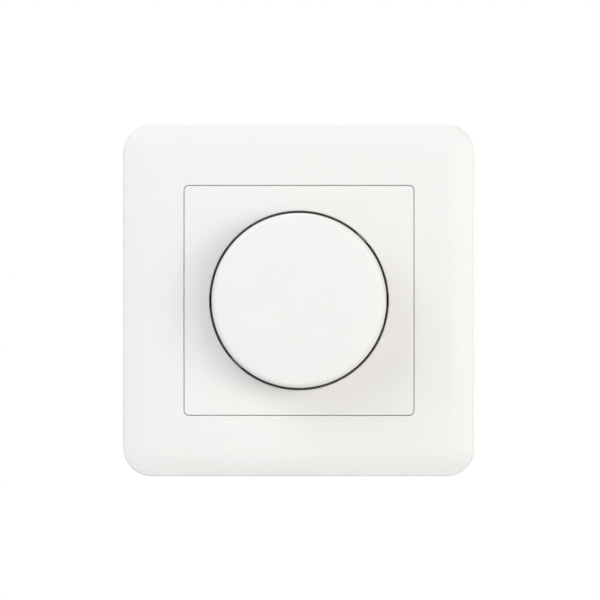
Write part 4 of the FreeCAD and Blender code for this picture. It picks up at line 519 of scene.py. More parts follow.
stripe = node(tree, "Math", {0: parts["X"], 1: -2.7 * MM}, operation="LESS_THAN")
tint = node(tree, "Mix", {0: stripe, 6: linear("#1C2233"), 7: linear("#B9BDC4")}, data_type="RGBA")
tint = node(tree, "Mix", {0: bare, 6: tint.outputs[2], 7: linear("#C9CBCD")}, data_type="RGBA")
offsets = [node(tree, "Math", {0: parts[side]}, operation="ABSOLUTE") for side in "XZ"]
nearest = node(tree, "Math", dict(enumerate(offsets)), operation="MINIMUM")
stamp = node(tree, "MapRange", {"Value": nearest, "From Min": 0.1 * MM, "From Max": 0.2 * MM})
wrinkle = node(tree, "TexNoise", {"Vector": where, "Scale": 1 / (1.2 * MM), "Detail": 2.0})
height = node(tree, "Mix", {0: bare, 2: wrinkle, 3: stamp}, data_type="FLOAT")
relief = node(tree, "Bump", {"Height": height, "Strength": 0.6, "Distance": 0.08 * MM})
gloss = node(tree, "MapRange", {"Value": bare, "To Min": 0.2, "To Max": 0.36})
end_material(tree, {"Base Color": tint.outputs[2], "Roughness": gloss, "Metallic": bare,
                    "Normal": relief})
dress(can_sleeve, "electrolytic_capacitor")

# Epoxy moulding compound: dull near-black with a fine mineral speckle, drawn at 0.15 mm.
chip_resin = moulded("Epoxy_moulding_compound", "#1B1B1C", "#26262A", 1.0, 0.15, 0.008, (0.42, 0.6),
                     ior=1.55)[0]
dress(chip_resin, "controller_chip", "power_transistors")

# Glazed ceramic tube with pressed caps: creamy white in the middle, tinned metal at both ends.
fuse_tube, tree, where = start_material("Ceramic_tube_tinned_caps")
FUSE_RIGHT, CAP_FROM = -0.6, 2.0
centred = node(tree, "Mapping", {"Vector": where, "Location": (-FUSE_RIGHT * MM, 0, 0)})
parts = node(tree, "SeparateXYZ", {0: centred}).outputs
reach = node(tree, "Math", {0: parts["X"]}, operation="ABSOLUTE")
cap = node(tree, "MapRange", {"Value": reach, "From Min": CAP_FROM * MM,
                              "From Max": (CAP_FROM + 0.05) * MM})
bite = node(tree, "TexNoise", {"Vector": where, "Scale": 1 / (0.6 * MM), "Detail": 3.0})
glaze = node(tree, "Mix", {0: bite, 6: linear("#D9D3C2"), 7: linear("#E6E1D3")}, data_type="RGBA")
tint = node(tree, "Mix", {0: cap, 6: glaze.outputs[2], 7: linear("#C4C6C8")}, data_type="RGBA")
gloss = node(tree, "MapRange", {"Value": bite, "To Min": 0.2, "To Max": 0.38})
relief = node(tree, "Bump", {"Height": cap, "Strength": 1.0, "Distance": 0.1 * MM})
end_material(tree, {"Base Color": tint.outputs[2], "Roughness": gloss, "Metallic": cap,
                    "Normal": relief})
dress(fuse_tube, "fuse")

# Mill-finish aluminium strip: pale grey with rolling lines along its length, 0.25 mm apart.
mill_aluminium = metal("Aluminium_mill_finish", "#BDC0C2", "#CFD1D2", 5.0, (6.0, 0.25, 0.25), 0.005,
                       (0.28, 0.46))[0]
dress(mill_aluminium, "heat_sink")

# ---------------------------------------------------------------- Choke
# A pressed and fired ferrite ring, wound with enamelled copper wire. A band of polyester tape
# holds the turns, and the wire's ends are soldered to the board.

# Fired ferrite: charcoal grey, dull like a stone, with pores drawn at 0.2 mm.
ferrite = moulded("Ferrite_fired", "#2C2C2E", "#3A3A3D", 1.5, 0.2, 0.02, (0.6, 0.8), ior=1.9)[0]
dress(ferrite, "choke_core")

# Copper under clear polyurethane enamel: bright orange-brown, with the die's lines drawn at 0.1 mm.
enamelled_copper, tree, where, skin = metal("Copper_wire_enamelled", "#B0622E", "#C97B42", 1.5,
                                            (0.1, 0.1, 0.1), 0.002, (0.2, 0.3))
skin.inputs["Coat Weight"].default_value = 0.8
skin.inputs["Coat Roughness"].default_value = 0.08


def wire_along(tree, path, thickness, sides, caps):
    """Round wire of a thickness along a path."""
    even = node(tree, "GeometryNodeSetCurveRadius", {"Curve": path, "Radius": 1.0})
    half = node(tree, "Math", {0: thickness, 1: 0.5}, operation="MULTIPLY")
    section = node(tree, "GeometryNodeCurvePrimitiveCircle", {"Resolution": sides, "Radius": half})
    return node(tree, "GeometryNodeCurveToMesh", {"Curve": even, "Profile Curve": section,
                                                  "Fill Caps": caps})


def repeated_round(tree, shape, count):
    """Repeats a shape evenly round the knob's axis."""
    spots = node(tree, "GeometryNodeMeshLine", {"Count": count, "Offset": (0.0, 0.0, 0.0)})
    angle = node(tree, "Math", {0: 2 * math.pi, 1: count}, operation="DIVIDE")
    angle = node(tree, "Math", {0: node(tree, "GeometryNodeInputIndex"), 1: angle},
                 operation="MULTIPLY")
    return node(tree, "GeometryNodeInstanceOnPoints", {
        "Points": spots, "Instance": shape,
        "Rotation": node(tree, "CombineXYZ", {"Y": angle})})


def winding_tree():
    """One turn of wire follows the outline, and is repeated round the choke's own axis."""
    tree, given = start_tree("Wound_wire", {"Wire": 0.0006, "Turns": 14, "Choke right": 0.0,
                                            "Choke up": 0.0})
    path = node(tree, "GeometryNodeFilletCurve", {
        "Curve": given["Outline"], "Count": 5, "Limit Radius": True,
        "Radius": node(tree, "GeometryNodeInputRadius")}, mode="POLY")
    # The outline is drawn flat, so it is stood up: across stays, and its level faces forward.
    loop = node(tree, "GeometryNodeTransform", {
        "Geometry": wire_along(tree, path, given["Wire"], 10, False),
        "Rotation": (math.pi, 0.0, 0.0)})
    middle = node(tree, "CombineXYZ", {"X": given["Choke right"], "Z": given["Choke up"]})
    placed = node(tree, "GeometryNodeTransform", {
        "Geometry": repeated_round(tree, loop, given["Turns"]), "Translation": middle})
    return end_tree(tree, given, placed)


CHOKE_RIGHT, CHOKE_UP = 10.0, -14.0
CHOKE_WIRE, WIRE_BEND = 0.6, 0.35
profile = [(across, level, WIRE_BEND) for across, level in ((2.65, -11.55), (6.15, -11.55),
                                                            (6.15, -6.45), (2.65, -6.45))]
choke_wire = grown("Choke_wire", profile, winding_tree(), enamelled_copper, {
    "Wire": CHOKE_WIRE, "Choke_right": CHOKE_RIGHT, "Choke_up": CHOKE_UP}, smooth_below=50,
    closed=True, Turns=14)
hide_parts("choke_winding")
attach(choke_wire, "base")

# Polyester tape, wound on from the roll: glossy clear yellow with a faint ripple.
polyester_tape = moulded("Polyester_tape_yellow", "#CDAE45", "#D8BC58", 2.0, 0.3, 0.004,
                         (0.16, 0.26))[0]
TAPE_INNER, TAPE_OUTER, TAPE_BACK, TAPE_FRONT = 5.86, 6.14, -10.1, -7.9
profile = [(TAPE_INNER, TAPE_BACK), (TAPE_OUTER, TAPE_BACK, 0.05), (TAPE_OUTER, TAPE_FRONT, 0.05),
           (TAPE_INNER, TAPE_FRONT), (TAPE_INNER, TAPE_BACK)]
choke_tape = grown("Choke_tape", profile, turned_part, polyester_tape, {}, Steps=72)
choke_tape.data.transform(Matrix.Translation((CHOKE_RIGHT * MM, 0, CHOKE_UP * MM)))
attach(choke_tape, "base")

# ---------------------------------------------------------------- Push switch
# A small moulded switch on the board, with a sliding plunger that a coil spring lifts. Pushing
# the knob drives the shaft's spigot onto the plunger.

# Acetal in its natural colour: waxy off-white, and light goes a little way into it.
acetal = moulded("Acetal_natural", "#D8D5CB", "#E1DED5", 3.0, 0.4, 0.004, (0.3, 0.42), glow=0.15)[0]
dress(acetal, "switch_plunger")
dress(grey_thermoset, "switch_case")

# Spring steel drawn and blued: bright grey with a faint brown cast from the heat, drawn in lines.
spring_steel = metal("Spring_steel_drawn", "#8F9092", "#A19C94", 1.0, (1.2, 0.1, 1.2), 0.003,
                     (0.2, 0.34))[0]


def spring_tree():
    """The outline is the spring's axis, from its foot forwards, and the wire is wound round it."""
    tree, given = start_tree("Wound_spring", {"Wire": 0.0005, "Coil radius": 0.002, "Turns": 3.0,
                                              "Steps": 8})
    axis = node(tree, "GeometryNodeResampleCurve", {"Curve": given["Outline"],
                                                    "Count": given["Steps"]}, mode="COUNT")
    angle = node(tree, "GeometryNodeSplineParameter")
    for by in (given["Turns"], 2 * math.pi):
        angle = node(tree, "Math", {0: angle, 1: by}, operation="MULTIPLY")
    across, up = round_axis(tree, angle, given["Coil radius"])
    drawn = node(tree, "SeparateXYZ", {0: node(tree, "GeometryNodeInputPosition")}).outputs
    wound = node(tree, "GeometryNodeSetPosition", {"Geometry": axis,
                                                   "Position": stood(tree, across, drawn["Y"], up)})
    return end_tree(tree, given, wire_along(tree, wound, given["Wire"], 12, True))


# Three turns of 0.5 mm wire stand between the well's floor and the plunger's collar. The knob's
# push takes up half of that height.
SPRING_FOOT, SPRING_TOP = -10.7, -8.2
plunger_spring = grown("Plunger_spring", [(0.0, SPRING_FOOT), (0.0, SPRING_TOP)], spring_tree(),
                       spring_steel, {"Wire": 0.5, "Coil_radius": 2.2}, smooth_below=50, Turns=3.0,
                       Steps=145)
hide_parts("plunger_spring")
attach(plunger_spring, "base")
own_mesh(plunger_spring)

# ---------------------------------------------------------------- Potentiometer
# A moulded case with a printed resistor wafer. The rotor, keyed to the shaft, sweeps its wiper
# round the wafer, and a threaded brass neck carries the case in the front cover.

# Alkyd moulding compound: dull slate blue with pale mineral specks, drawn at 0.2 mm.
alkyd, tree, where, skin = moulded("Alkyd_moulding_blue", "#203656", "#2A4266", 2.0, 0.2, 0.01,
                                   (0.45, 0.6))
dots = node(tree, "TexNoise", {"Vector": where, "Scale": 1 / (0.22 * MM), "Detail": 1.0})
showing = node(tree, "MapRange", {"Value": dots, "From Min": 0.66, "From Max": 0.72, "To Max": 0.4})
lay_over(tree, skin, showing, "#7D8CA5")
dress(alkyd, "pot_case", "trimmer_body")
dress(acetal, "pot_rotor")
dress(spring_steel, "wiper_contact")

# Phenolic paper board with printed rings: brown like pressed paper, a black carbon track on
# which the wiper tips run, and a silver collector ring inside it.
resistor_board, tree, where = start_material("Phenolic_board_printed_track")
flat_place = node(tree, "Mapping", {"Vector": where, "Scale": (1.0, 0.0, 1.0)})
away = node(tree, "VectorMath", {0: flat_place}, operation="LENGTH").outputs["Value"]
fibre = node(tree, "TexNoise", {"Vector": where, "Scale": 1 / (0.8 * MM), "Detail": 4.0})
tint = node(tree, "Mix", {0: fibre, 6: linear("#5A3B20"), 7: linear("#6B4A2B")}, data_type="RGBA")
RINGS = (("Carbon", 4.6, 0.9, "#17171A"), ("Collector", 3.15, 0.3, "#A9ABAD"))
for name, middle, half_wide, colour in RINGS:
    off = node(tree, "Math", {0: away, 1: middle * MM}, operation="SUBTRACT")
    off = node(tree, "Math", {0: off}, operation="ABSOLUTE")
    track = node(tree, "MapRange", {"Value": off, "From Min": half_wide * MM, "To Min": 1.0,
                                    "From Max": (half_wide + 0.04) * MM, "To Max": 0.0}, label=name)
    tint = node(tree, "Mix", {0: track, 6: tint.outputs[2], 7: linear(colour)}, data_type="RGBA")
gloss = node(tree, "MapRange", {"Value": fibre, "To Min": 0.34, "To Max": 0.52})
relief = node(tree, "Bump", {"Height": fibre, "Strength": 1.0, "Distance": 0.004 * MM})
end_material(tree, {"Base Color": tint.outputs[2], "Roughness": gloss, "Normal": relief})
dress(resistor_board, "resistor_wafer")

# Bright nickel on turned brass: a warm silver that mirrors softly, with turning rings 0.1 mm apart.
nickel_brass = metal("Brass_nickel_plated", "#BDB9AE", "#CFCBC0", 2.0, (2.0, 0.1, 2.0), 0.003,
                     (0.14, 0.28))[0]
NECK_THREAD = {"Thread_radius": 4.0, "Pitch": 0.75, "Thread_depth": 0.35}
NECK_BORE, NECK_RELIEF, NECK_FOOT, NECK_END = 2.05, 3.0, -0.6, 8.5
profile = [(NECK_BORE, NECK_FOOT), (NECK_RELIEF, NECK_FOOT), (NECK_RELIEF, 1.2),
           *threaded(NECK_THREAD, 1.2, 8.0), (4.0, 8.1), (3.6, NECK_END), (NECK_BORE, NECK_END),
           (NECK_BORE, NECK_FOOT)]
threaded_neck = grown("Threaded_neck", profile, turned_part, nickel_brass, {
    **NECK_THREAD, "Thread_from": 1.4, "Thread_to": 8.1}, Steps=72)
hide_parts("threaded_neck")
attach(threaded_neck, "base")

# ---------------------------------------------------------------- Control shaft
# A ground steel rod with a flat for the rotor and one for the knob. A spigot on its end turns in
# the plunger, and a pressed-on ring stops it from being pulled out.
dress(zinc_turned, "control_shaft")

# ---------------------------------------------------------------- Level trimmer
# A small preset resistor that sets the lowest light level. Its acetal spindle has a slot for a
# screwdriver and ends just under the front cover's face.
dress(acetal, "trimmer_spindle")

# ---------------------------------------------------------------- Front cover
# The insert's lid, moulded in black polycarbonate. Its round turret carries the potentiometer,
# and its fine matt grain keeps the gap round the knob dark.
black_polycarbonate = moulded("Polycarbonate_black_matt", "#161718", "#1E1F21", 6.0, 0.22, 0.012,
                              (0.46, 0.6), ior=1.58)[0]
dress(black_polycarbonate, "front_cover")

# ---------------------------------------------------------------- Support ring
# A square stamped from 1.2 mm steel strip and zinc plated, with slots and holes for the wall-box
# screws. The centre plate's hooks snap through its four windows.


def zinc_sheet(name, grain, axis, beyond):
    """Zinc-plated sheet, passivated blue: satin cool grey that drifts to straw, with rolling lines
    drawn 0.25 mm apart. The edges that the punch has cut are duller and marked upright. They
    are found by how far they face along an axis."""
    made, tree, where, skin = metal(name, "#ABB1B8", "#B9B8B2", 9.0, grain, 0.005, (0.44, 0.62))
    facing = node(tree, "TexCoord").outputs["Normal"]
    facing = node(tree, "SeparateXYZ", {0: facing}).outputs[axis]
    facing = node(tree, "Math", {0: facing}, operation="ABSOLUTE")
    sheared = node(tree, "Math", {0: facing, 1: 0.5}, operation=beyond)
    upright = node(tree, "Mapping", {
        "Vector": where, "Scale": [1 / (step * MM) for step in (0.15, 3.0, 0.15)]})
    marks = node(tree, "TexNoise", {"Vector": upright, "Scale": 1.0, "Detail": 2.0})
    dull = node(tree, "MapRange", {"Value": marks, "To Min": 0.4, "To Max": 0.65})
    rolled = skin.inputs["Roughness"].links[0].from_socket
    gloss = node(tree, "Mix", {0: sheared, 2: rolled, 3: dull}, data_type="FLOAT")
    tree.links.new(gloss.outputs[0], skin.inputs["Roughness"])
    lay_over(tree, skin, sheared, "#9DA0A3")
    return made


dress(zinc_sheet("Zinc_plated_steel_sheet", (6.0, 0.25, 0.25), "Y", "LESS_THAN"), "support_ring")

# Two M2.6 pan-head screws go through the ring and the cover into the housing's bosses. Their
# heads have a cross, as the claw screws' have.
M2_6 = {"Thread_radius": 1.3, "Pitch": 0.45, "Thread_depth": 0.24}
CROSS = {"Recess_long": 2.6, "Recess_wide": 0.7, "Recess_deep": 0.9}
PAN_TOP, PAN_FOOT, PAN_RADIUS, LID_SCREW_END = 2.7, 1.2, 2.3, -7.8
profile = [(0.0, PAN_TOP), (1.9, PAN_TOP, 0.8), (PAN_RADIUS, 2.0, 0.5), (PAN_RADIUS, PAN_FOOT),
           *threaded(M2_6, PAN_FOOT, LID_SCREW_END + 0.4), (0.9, LID_SCREW_END),
           (0.0, LID_SCREW_END)]
lid_screws = grown("Lid_screws", profile, screws, zinc_turned, {
    **M2_6, **CROSS, "Thread_from": -7.5, "Thread_to": -0.2, "Recess_level": PAN_TOP,
    "First_right": -15.34, "First_up": -15.35, "Last_right": 15.34, "Last_up": 15.35},
    Steps=40, Count=2)
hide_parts("lid_screws")
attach(lid_screws, "base")

# ---------------------------------------------------------------- Washer and nut
# A stamped steel washer and a hexagon nut of nickel-plated brass clamp the neck in the turret.
dress(zinc_turned, "neck_washer")
dress(nickel_brass, "neck_nut")

# ---------------------------------------------------------------- Spreading claws
# On each side an M3 screw hangs by its ball head in the ring. It draws a bent steel claw up the
# housing's ramp, and the claw's two teeth bite into the wall box.
zinc_claw = zinc_sheet("Zinc_plated_steel_strip", (0.25, 5.0, 0.25), "Z", "GREATER_THAN")
dress(zinc_claw, "claw_left", "claw_right")

# The screws are turned and plated as the others are, a little less glossy. Their end in front of
# the ring
# is painted near black: painted shade, which keeps them dark in the knob gap.
zinc_with_painted_shade, tree, where, skin = metal("Zinc_plated_steel_greased", "#B4BCC6", "#CFCBBE", 2.5,
                                        (2.0, 0.12, 2.0), 0.004, (0.3, 0.42))
# Painted shade: the colour turns near black from 0.4 mm to 0.8 mm in front of the wall, and stays
# so beyond.
forward = node(tree, "SeparateXYZ", {0: where}).outputs["Y"]
painted_shade = node(tree, "MapRange", {"Value": forward, "From Min": -0.4 * MM, "From Max": -0.8 * MM})
lay_over(tree, skin, painted_shade, "#3C3C3D")


def arc(across, level, radius, start, end, steps):
    """Outline points along an arc, from a start angle to an end angle in radians."""
    angles = [start + (end - start) * step / steps for step in range(steps + 1)]
    return [(across + radius * math.cos(angle), level + radius * math.sin(angle))
            for angle in angles]


# The ball is cut flat a little in front of its middle, and behind it runs into a plain shank.
BALL_RADIUS, BALL_FLAT, PIVOT_LEVEL = 2.8, 0.3, 2.982
SHANK_RADIUS, SHANK_END, CLAW_SCREW_RIGHT = 1.5, -20.0, 23.6
ball = arc(0.0, PIVOT_LEVEL, BALL_RADIUS, math.asin(BALL_FLAT / BALL_RADIUS),
           -math.acos(SHANK_RADIUS / BALL_RADIUS), 12)
profile = [(0.0, PIVOT_LEVEL + BALL_FLAT), *ball, (SHANK_RADIUS, ball[-1][1] - 0.05),
           (SHANK_RADIUS, SHANK_END + 0.5), (1.0, SHANK_END), (0.0, SHANK_END)]
for side, right in (("left", -CLAW_SCREW_RIGHT), ("right", CLAW_SCREW_RIGHT)):
    claw_screw = grown(f"Claw_screw_{side}", profile, screws, zinc_with_painted_shade, {
        **CROSS, "Recess_level": PIVOT_LEVEL + BALL_FLAT, "First_right": right,
        "Last_right": right}, Steps=36)
    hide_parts(f"claw_screw_{side}")
    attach(claw_screw, f"claw_screw_{side}")

# ---------------------------------------------------------------- Cover frame
# A square frame, injection moulded in satin white thermoplastic. Its face curves back at the
# edge, a ledge inside carries the centre plate, and ribs stiffen the hollow behind.

# White thermoplastic from a finely polished steel tool: one clean, slightly warm white with a
# soft sheen on its roundings, a trace of flow in the colour, and grain drawn at 0.3 mm.
white_thermoplastic = moulded("White_thermoplastic_satin", "#E4E4DF", "#E7E7E3", 12.0, 0.3, 0.0004,
                              (0.36, 0.44), glow=0.06, edge=0.0)[0]

FRAME_HALF, FACE_LEVEL, EDGE_ROUND = 42.2, 9.5, 0.7
CROWN_HALF, CROWN_CORNER, CROWN_DROP = 35.5, 0.2, 1.4
OPENING_HALF, OPENING_CORNER, OPENING_ROUND = 27.65, 1.25, 0.15
COLLAR_HALF, COLLAR_FOOT = 29.05, 1.4
LEDGE_HALF, LEDGE_LEVEL, LEDGE_BACK = 26.05, 7.5, 6.0
HOLLOW_HALF, HOLLOW_ROOF, HOLLOW_CORNER = 40.2, 6.1, 4.9
STEP_CORNER = 3.45


def rounded_square(half, corner, level, steps):
    """One row of a moulding: the points of a rounded square at a level in front of the wall."""
    row = []
    for quarter in range(4):
        turn = math.radians(90 * quarter)
        x, y = [(half - corner) * (math.cos(turn) + sign * math.sin(turn)) for sign in (-1, 1)]
        row += [(right * MM, -level * MM, up * MM)
                for right, up in arc(x, y, corner, turn, turn + math.pi / 2, steps)]
    return row


def square_moulding(name, outline, steps=16):
    """A closed square moulding over an outline of (half its side, its corner, level)."""
    rows = [rounded_square(half, corner, level, steps) for half, corner, level in outline]
    count, faces = len(rows[0]), []
    for row in range(len(rows)):
        low, high = row * count, (row + 1) % len(rows) * count
        for step in range(count):
            after = (step + 1) % count
            faces.append((low + step, low + after, high + after, high + step))
    made = mesh_object(name, [point for row in rows for point in row], faces)
    made.data.materials.append(white_thermoplastic)
    return made


def rim(middle, radius, start, end, steps):
    """A rounded edge of the face, round its middle, as outline points of half side and level."""
    return arc(middle, FACE_LEVEL - radius, radius, math.radians(start), math.radians(end), steps)


# The crown is an arc, level with the face at its start. The edge round touches the side at its
# own height, and the crown where both circles meet.
CROWN_RADIUS = ((FRAME_HALF - CROWN_HALF) ** 2 + CROWN_DROP ** 2) / (2 * CROWN_DROP)
crown_level = FACE_LEVEL - CROWN_RADIUS
round_half = FRAME_HALF - EDGE_ROUND
meet = CROWN_RADIUS - EDGE_ROUND
round_level = crown_level + math.sqrt(meet ** 2 - (round_half - CROWN_HALF) ** 2)
tangent = math.atan2(round_level - crown_level, round_half - CROWN_HALF)
outside = [(FRAME_HALF, 0.0), (FRAME_HALF, round_level - 0.5),
           *arc(round_half, round_level, EDGE_ROUND, 0.0, tangent, 8),
           *arc(CROWN_HALF, crown_level, CROWN_RADIUS, tangent, math.pi / 2, 20)[1:]]
outline = [(half, half - CROWN_HALF + CROWN_CORNER, level) for half, level in outside]
outline += [(CROWN_HALF - 0.15, CROWN_CORNER * 0.8, FACE_LEVEL),
            (OPENING_HALF + 0.5, OPENING_CORNER, FACE_LEVEL)]
outline += [(half, half - OPENING_HALF + OPENING_CORNER, level)
            for half, level in rim(OPENING_HALF + OPENING_ROUND, OPENING_ROUND, 90, 180, 5)]
inside = [(OPENING_HALF, LEDGE_LEVEL), (LEDGE_HALF, LEDGE_LEVEL), (LEDGE_HALF, LEDGE_BACK),
          (OPENING_HALF, LEDGE_BACK), (OPENING_HALF, COLLAR_FOOT)]
outline += [(half, OPENING_CORNER, level) for half, level in inside]
collar_corner = OPENING_CORNER + COLLAR_HALF - OPENING_HALF
outline += [(COLLAR_HALF, collar_corner, COLLAR_FOOT), (COLLAR_HALF, collar_corner, LEDGE_LEVEL),
            (CROWN_HALF, STEP_CORNER, LEDGE_LEVEL), (CROWN_HALF, STEP_CORNER, HOLLOW_ROOF),
            (HOLLOW_HALF, HOLLOW_CORNER, HOLLOW_ROOF), (HOLLOW_HALF, HOLLOW_CORNER, 0.0)]
cover_frame = square_moulding("Cover_frame", outline)

# A rib all round halves the hollow. Its foot sinks into the face, as the stepped ribs' do.
SPINE_INNER, SPINE_OUTER, ROOT_LEVEL = 34.025, 35.225, 8.2
spine = square_moulding("Frame_spine", [
    (half, STEP_CORNER, level) for half, level in (
        (SPINE_INNER, COLLAR_FOOT), (SPINE_INNER, ROOT_LEVEL), (SPINE_OUTER, ROOT_LEVEL),
        (SPINE_OUTER, COLLAR_FOOT))])


def rib_tree():
    """An outline of reach and level becomes a flat rib. Ribs stand in a row across, and the row
    is repeated round the knob's axis."""
    sizes = {"Thick": 0.001, "Row": 1, "Pitch": 0.0, "Shift": 0.0, "Round": 4}
    tree, given = start_tree("Moulded_ribs", sizes)
    face = node(tree, "GeometryNodeFillCurve", {"Curve": given["Outline"]}, mode="NGONS")
    raised = node(tree, "GeometryNodeExtrudeMesh", {"Mesh": face, "Offset Scale": given["Thick"],
                                                    "Individual": False})
    plate = node(tree, "GeometryNodeJoinGeometry", {
        "Geometry": node(tree, "GeometryNodeFlipFaces", {"Mesh": face})})
    tree.links.new(raised.outputs[0], plate.inputs[0])
    # Reach becomes up, level faces forward, and the thickness lies across.
    drawn = node(tree, "SeparateXYZ", {0: node(tree, "GeometryNodeInputPosition")}).outputs
    half = node(tree, "Math", {0: given["Thick"], 1: -0.5, 2: drawn["Z"]}, operation="MULTIPLY_ADD")
    rib = node(tree, "GeometryNodeSetPosition", {
        "Geometry": plate, "Position": stood(tree, half, drawn["Y"], drawn["X"])})
    short = node(tree, "Math", {0: given["Row"], 1: -1.0}, operation="ADD")
    start = node(tree, "Math", {0: short, 1: given["Pitch"]}, operation="MULTIPLY")
    start = node(tree, "Math", {0: start, 1: -0.5, 2: given["Shift"]}, operation="MULTIPLY_ADD")
    row = node(tree, "GeometryNodeMeshLine", {
        "Count": given["Row"], "Start Location": node(tree, "CombineXYZ", {"X": start}),
        "Offset": node(tree, "CombineXYZ", {"X": given["Pitch"]})})
    side = node(tree, "GeometryNodeInstanceOnPoints", {"Points": row, "Instance": rib})
    return end_tree(tree, given, repeated_round(tree, side, given["Round"]))


ribs = rib_tree()


def weld(whole, *others, smooth_below=30):
    """Makes one closed moulding of a piece and the forms that grow out of it."""
    for form in others:
        union = whole.modifiers.new("Union", "BOOLEAN")
        union.operation, union.solver, union.object = "UNION", "EXACT", form
        union.use_self = form is not others[0] or len(others) == 1
    ready = whole.evaluated_get(bpy.context.evaluated_depsgraph_get())
    whole.data = bpy.data.meshes.new_from_object(ready)
    whole.modifiers.clear()
    tidy_mesh(whole.data, smooth_below)
    for form in others:
        bpy.data.objects.remove(form)


# The ribs run from the collar to the side, and their ends sink into both.
RIB_FROM, RIB_STEP, RIB_TO, RIB_ROOF = 28.35, 36.5, 40.9, 6.8
profile = [(RIB_FROM, COLLAR_FOOT), (RIB_STEP, COLLAR_FOOT), (RIB_STEP, 0.0), (RIB_TO, 0.0),
           (RIB_TO, RIB_ROOF), (34.8, RIB_ROOF), (34.8, ROOT_LEVEL), (RIB_FROM, ROOT_LEVEL)]
frame_ribs = grown("Frame_ribs", profile, ribs, white_thermoplastic, {"Thick": 1.2, "Pitch": 18.0},
                   closed=True, Row=3, Round=4)
weld(cover_frame, spine, frame_ribs)
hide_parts("cover_frame")
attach(cover_frame, "base")

# ---------------------------------------------------------------- Centre plate
# A square plate of the same plastic, flush in the frame, with a round hole for the knob, a
# short collar round it, a skirt, and four hooks that snap behind the support ring.

PLATE_HALF, PLATE_CORNER, PLATE_ROUND, PLATE_BACK = 27.5, 1.1, 0.15, 7.5
HOLE_RADIUS, HOLE_ROUND, RIM_RADIUS, RIM_FOOT = 21.525, 0.3, 22.825, 5.7
SKIRT_INNER, SKIRT_OUTER, SKIRT_FOOT = 24.65, 25.85, 4.5

outline = [(PLATE_HALF, PLATE_CORNER, PLATE_BACK)]
outline += [(half, half - PLATE_HALF + PLATE_CORNER, level)
            for half, level in rim(PLATE_HALF - PLATE_ROUND, PLATE_ROUND, 0, 90, 4)]
outline.append((PLATE_HALF - 0.5, 0.8, FACE_LEVEL))
hole = [(HOLE_RADIUS + 0.7, FACE_LEVEL), *rim(HOLE_RADIUS + HOLE_ROUND, HOLE_ROUND, 90, 180, 6),
        (HOLE_RADIUS, RIM_FOOT), (RIM_RADIUS, RIM_FOOT), (RIM_RADIUS, PLATE_BACK)]
outline += [(radius, radius, level) for radius, level in hole]
outline += [(SKIRT_INNER, 0.55, PLATE_BACK), (SKIRT_INNER, 0.55, SKIRT_FOOT),
            (SKIRT_OUTER, 1.1, SKIRT_FOOT), (SKIRT_OUTER, 1.1, PLATE_BACK)]
centre_plate = square_moulding("Centre_plate", outline, steps=24)

# A hook is an arm with a nose that grips behind the ring. Its root sinks into the plate.
ARM_INNER, ARM_OUTER, NOSE, ARM_ROOT, ARM_END, GRIP = 24.35, 25.65, 26.45, 8.0, -1.7, -0.1
profile = [(ARM_INNER, ARM_ROOT), (ARM_INNER, ARM_END), (ARM_OUTER, ARM_END), (NOSE, -0.6),
           (NOSE, GRIP), (ARM_OUTER, GRIP), (ARM_OUTER, ARM_ROOT)]
hooks = grown("Plate_hooks", profile, ribs, white_thermoplastic, {"Thick": 5.0, "Shift": 18.0},
              closed=True, Round=4)
weld(centre_plate, hooks)
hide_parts("centre_plate")
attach(centre_plate, "base")

# ---------------------------------------------------------------- Rotary knob
# A hollow cap of the same plastic, slightly drafted, with a rounded front edge. Six ribs stiffen
# its roof, and the split socket in the middle is pushed onto the flatted shaft.

KNOB_FOOT, KNOB_FRONT, KNOB_CEILING, KNOB_ROUND = 5.5, 20.0, 18.0, 1.3
KNOB_RADIUS, KNOB_WALL, SLOPE = 20.975, 1.8, math.tan(math.radians(1.0))
BOSS_RADIUS, BOSS_END = 4.3, 10.4
KNOB_TOP_RADIUS = KNOB_RADIUS - (KNOB_FRONT - FACE_LEVEL) * SLOPE
KNOB_FOOT_RADIUS = KNOB_RADIUS + (FACE_LEVEL - KNOB_FOOT) * SLOPE


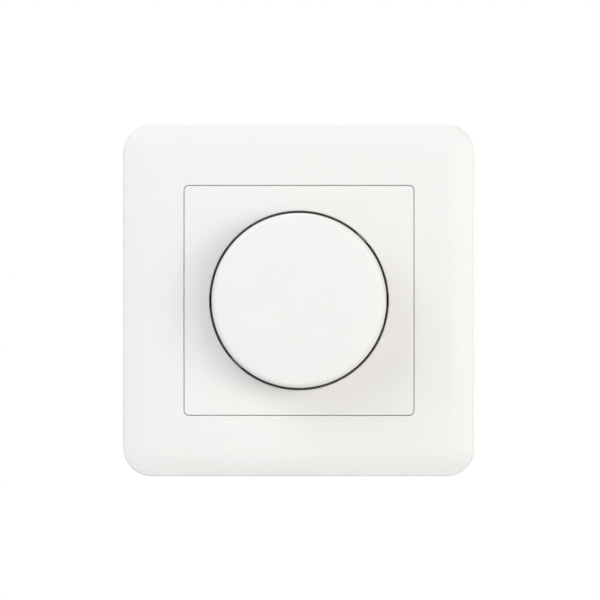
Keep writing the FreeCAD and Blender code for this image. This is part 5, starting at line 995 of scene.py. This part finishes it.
def knob_tree():
    """The cap is turned from its outline. A bore with one flat and a narrow split, both turned
    to the shaft's resting angle, are cut into its boss."""
    sizes = {"Boss end": 0.0, "Boss radius": 0.001, "Bore radius": 0.001, "Bore deep": 0.001,
             "Flat": 0.001, "Split wide": 0.001, "Split deep": 0.001, "Rest turn": 0.0}
    tree, given = start_tree("Knob_cap", {**TURNED_SIZES, **sizes})
    cap = nested(tree, turned_part, given)
    double = node(tree, "Math", {0: given["Bore deep"], 1: 2.0}, operation="MULTIPLY")
    bore = node(tree, "GeometryNodeMeshCylinder", {"Vertices": 64, "Radius": given["Bore radius"],
                                                   "Depth": double})
    bore = node(tree, "GeometryNodeTransform", {"Geometry": bore,
                                                "Rotation": (math.pi / 2, 0.0, 0.0)})
    far = node(tree, "Math", {0: given["Flat"], 1: given["Bore radius"]}, operation="ADD")
    wide = node(tree, "Math", {0: given["Bore radius"], 1: 2.0}, operation="MULTIPLY")
    block = node(tree, "GeometryNodeMeshCube", {"Size": node(tree, "CombineXYZ", {
        "X": wide, "Y": node(tree, "Math", {0: double, 1: 1.1}, operation="MULTIPLY"), "Z": wide})})
    block = node(tree, "GeometryNodeTransform", {
        "Geometry": block, "Translation": node(tree, "CombineXYZ", {"Z": far})})
    bore = node(tree, "GeometryNodeMeshBoolean", {"Mesh 1": bore, "Mesh 2": block},
                operation="DIFFERENCE", solver="EXACT")
    twice = node(tree, "Math", {0: given["Split deep"], 1: 2.0}, operation="MULTIPLY")
    long = node(tree, "Math", {0: given["Boss radius"], 1: 2.05}, operation="MULTIPLY")
    split = node(tree, "GeometryNodeMeshCube", {"Size": node(tree, "CombineXYZ", {
        "X": long, "Y": twice, "Z": given["Split wide"]})})
    spot = stood(tree, 0.0, given["Boss end"], 0.0)
    turn = node(tree, "Math", {0: given["Rest turn"], 1: -1.0}, operation="MULTIPLY")
    turn = node(tree, "CombineXYZ", {"Y": turn})
    for cutter in (bore, split):
        cutter = node(tree, "GeometryNodeTransform", {"Geometry": cutter, "Translation": spot,
                                                      "Rotation": turn})
        cap = node(tree, "GeometryNodeMeshBoolean", {"Mesh 1": cap, "Mesh 2": cutter},
                   operation="DIFFERENCE", solver="EXACT")
    return end_tree(tree, given, cap)


profile = [*((across, KNOB_FRONT) for across in (0.0, 6.0, 14.0)),
           (KNOB_TOP_RADIUS, KNOB_FRONT, KNOB_ROUND), (KNOB_FOOT_RADIUS, KNOB_FOOT),
           (KNOB_FOOT_RADIUS - KNOB_WALL, KNOB_FOOT), (KNOB_TOP_RADIUS - KNOB_WALL, KNOB_CEILING),
           (BOSS_RADIUS, KNOB_CEILING), (BOSS_RADIUS, BOSS_END), (0.0, BOSS_END)]
knob = grown("Rotary_knob", profile, knob_tree(), white_thermoplastic, {
    "Boss_end": BOSS_END, "Boss_radius": BOSS_RADIUS, "Bore_radius": 2.05, "Bore_deep": 7.0,
    "Flat": 1.25, "Split_wide": 0.8, "Split_deep": 5.0}, Steps=192, Rest_turn=math.radians(135))

# The ribs sink into the boss, the wall and the roof.
RIB_INNER, RIB_OUTER, RIB_FOOT, RIB_ROOT = 3.8, 19.9, 15.0, 18.5
profile = [(RIB_INNER, RIB_FOOT), (RIB_OUTER, RIB_FOOT), (RIB_OUTER, RIB_ROOT),
           (RIB_INNER, RIB_ROOT)]
knob_ribs = grown("Knob_ribs", profile, ribs, white_thermoplastic, {"Thick": 1.1}, closed=True,
                  Round=6)
weld(knob, knob_ribs)
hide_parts("rotary_knob")
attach(knob, "knob")

# An open ring of spring steel squeezes the split socket onto the shaft.
dress(spring_steel, "knob_clip")
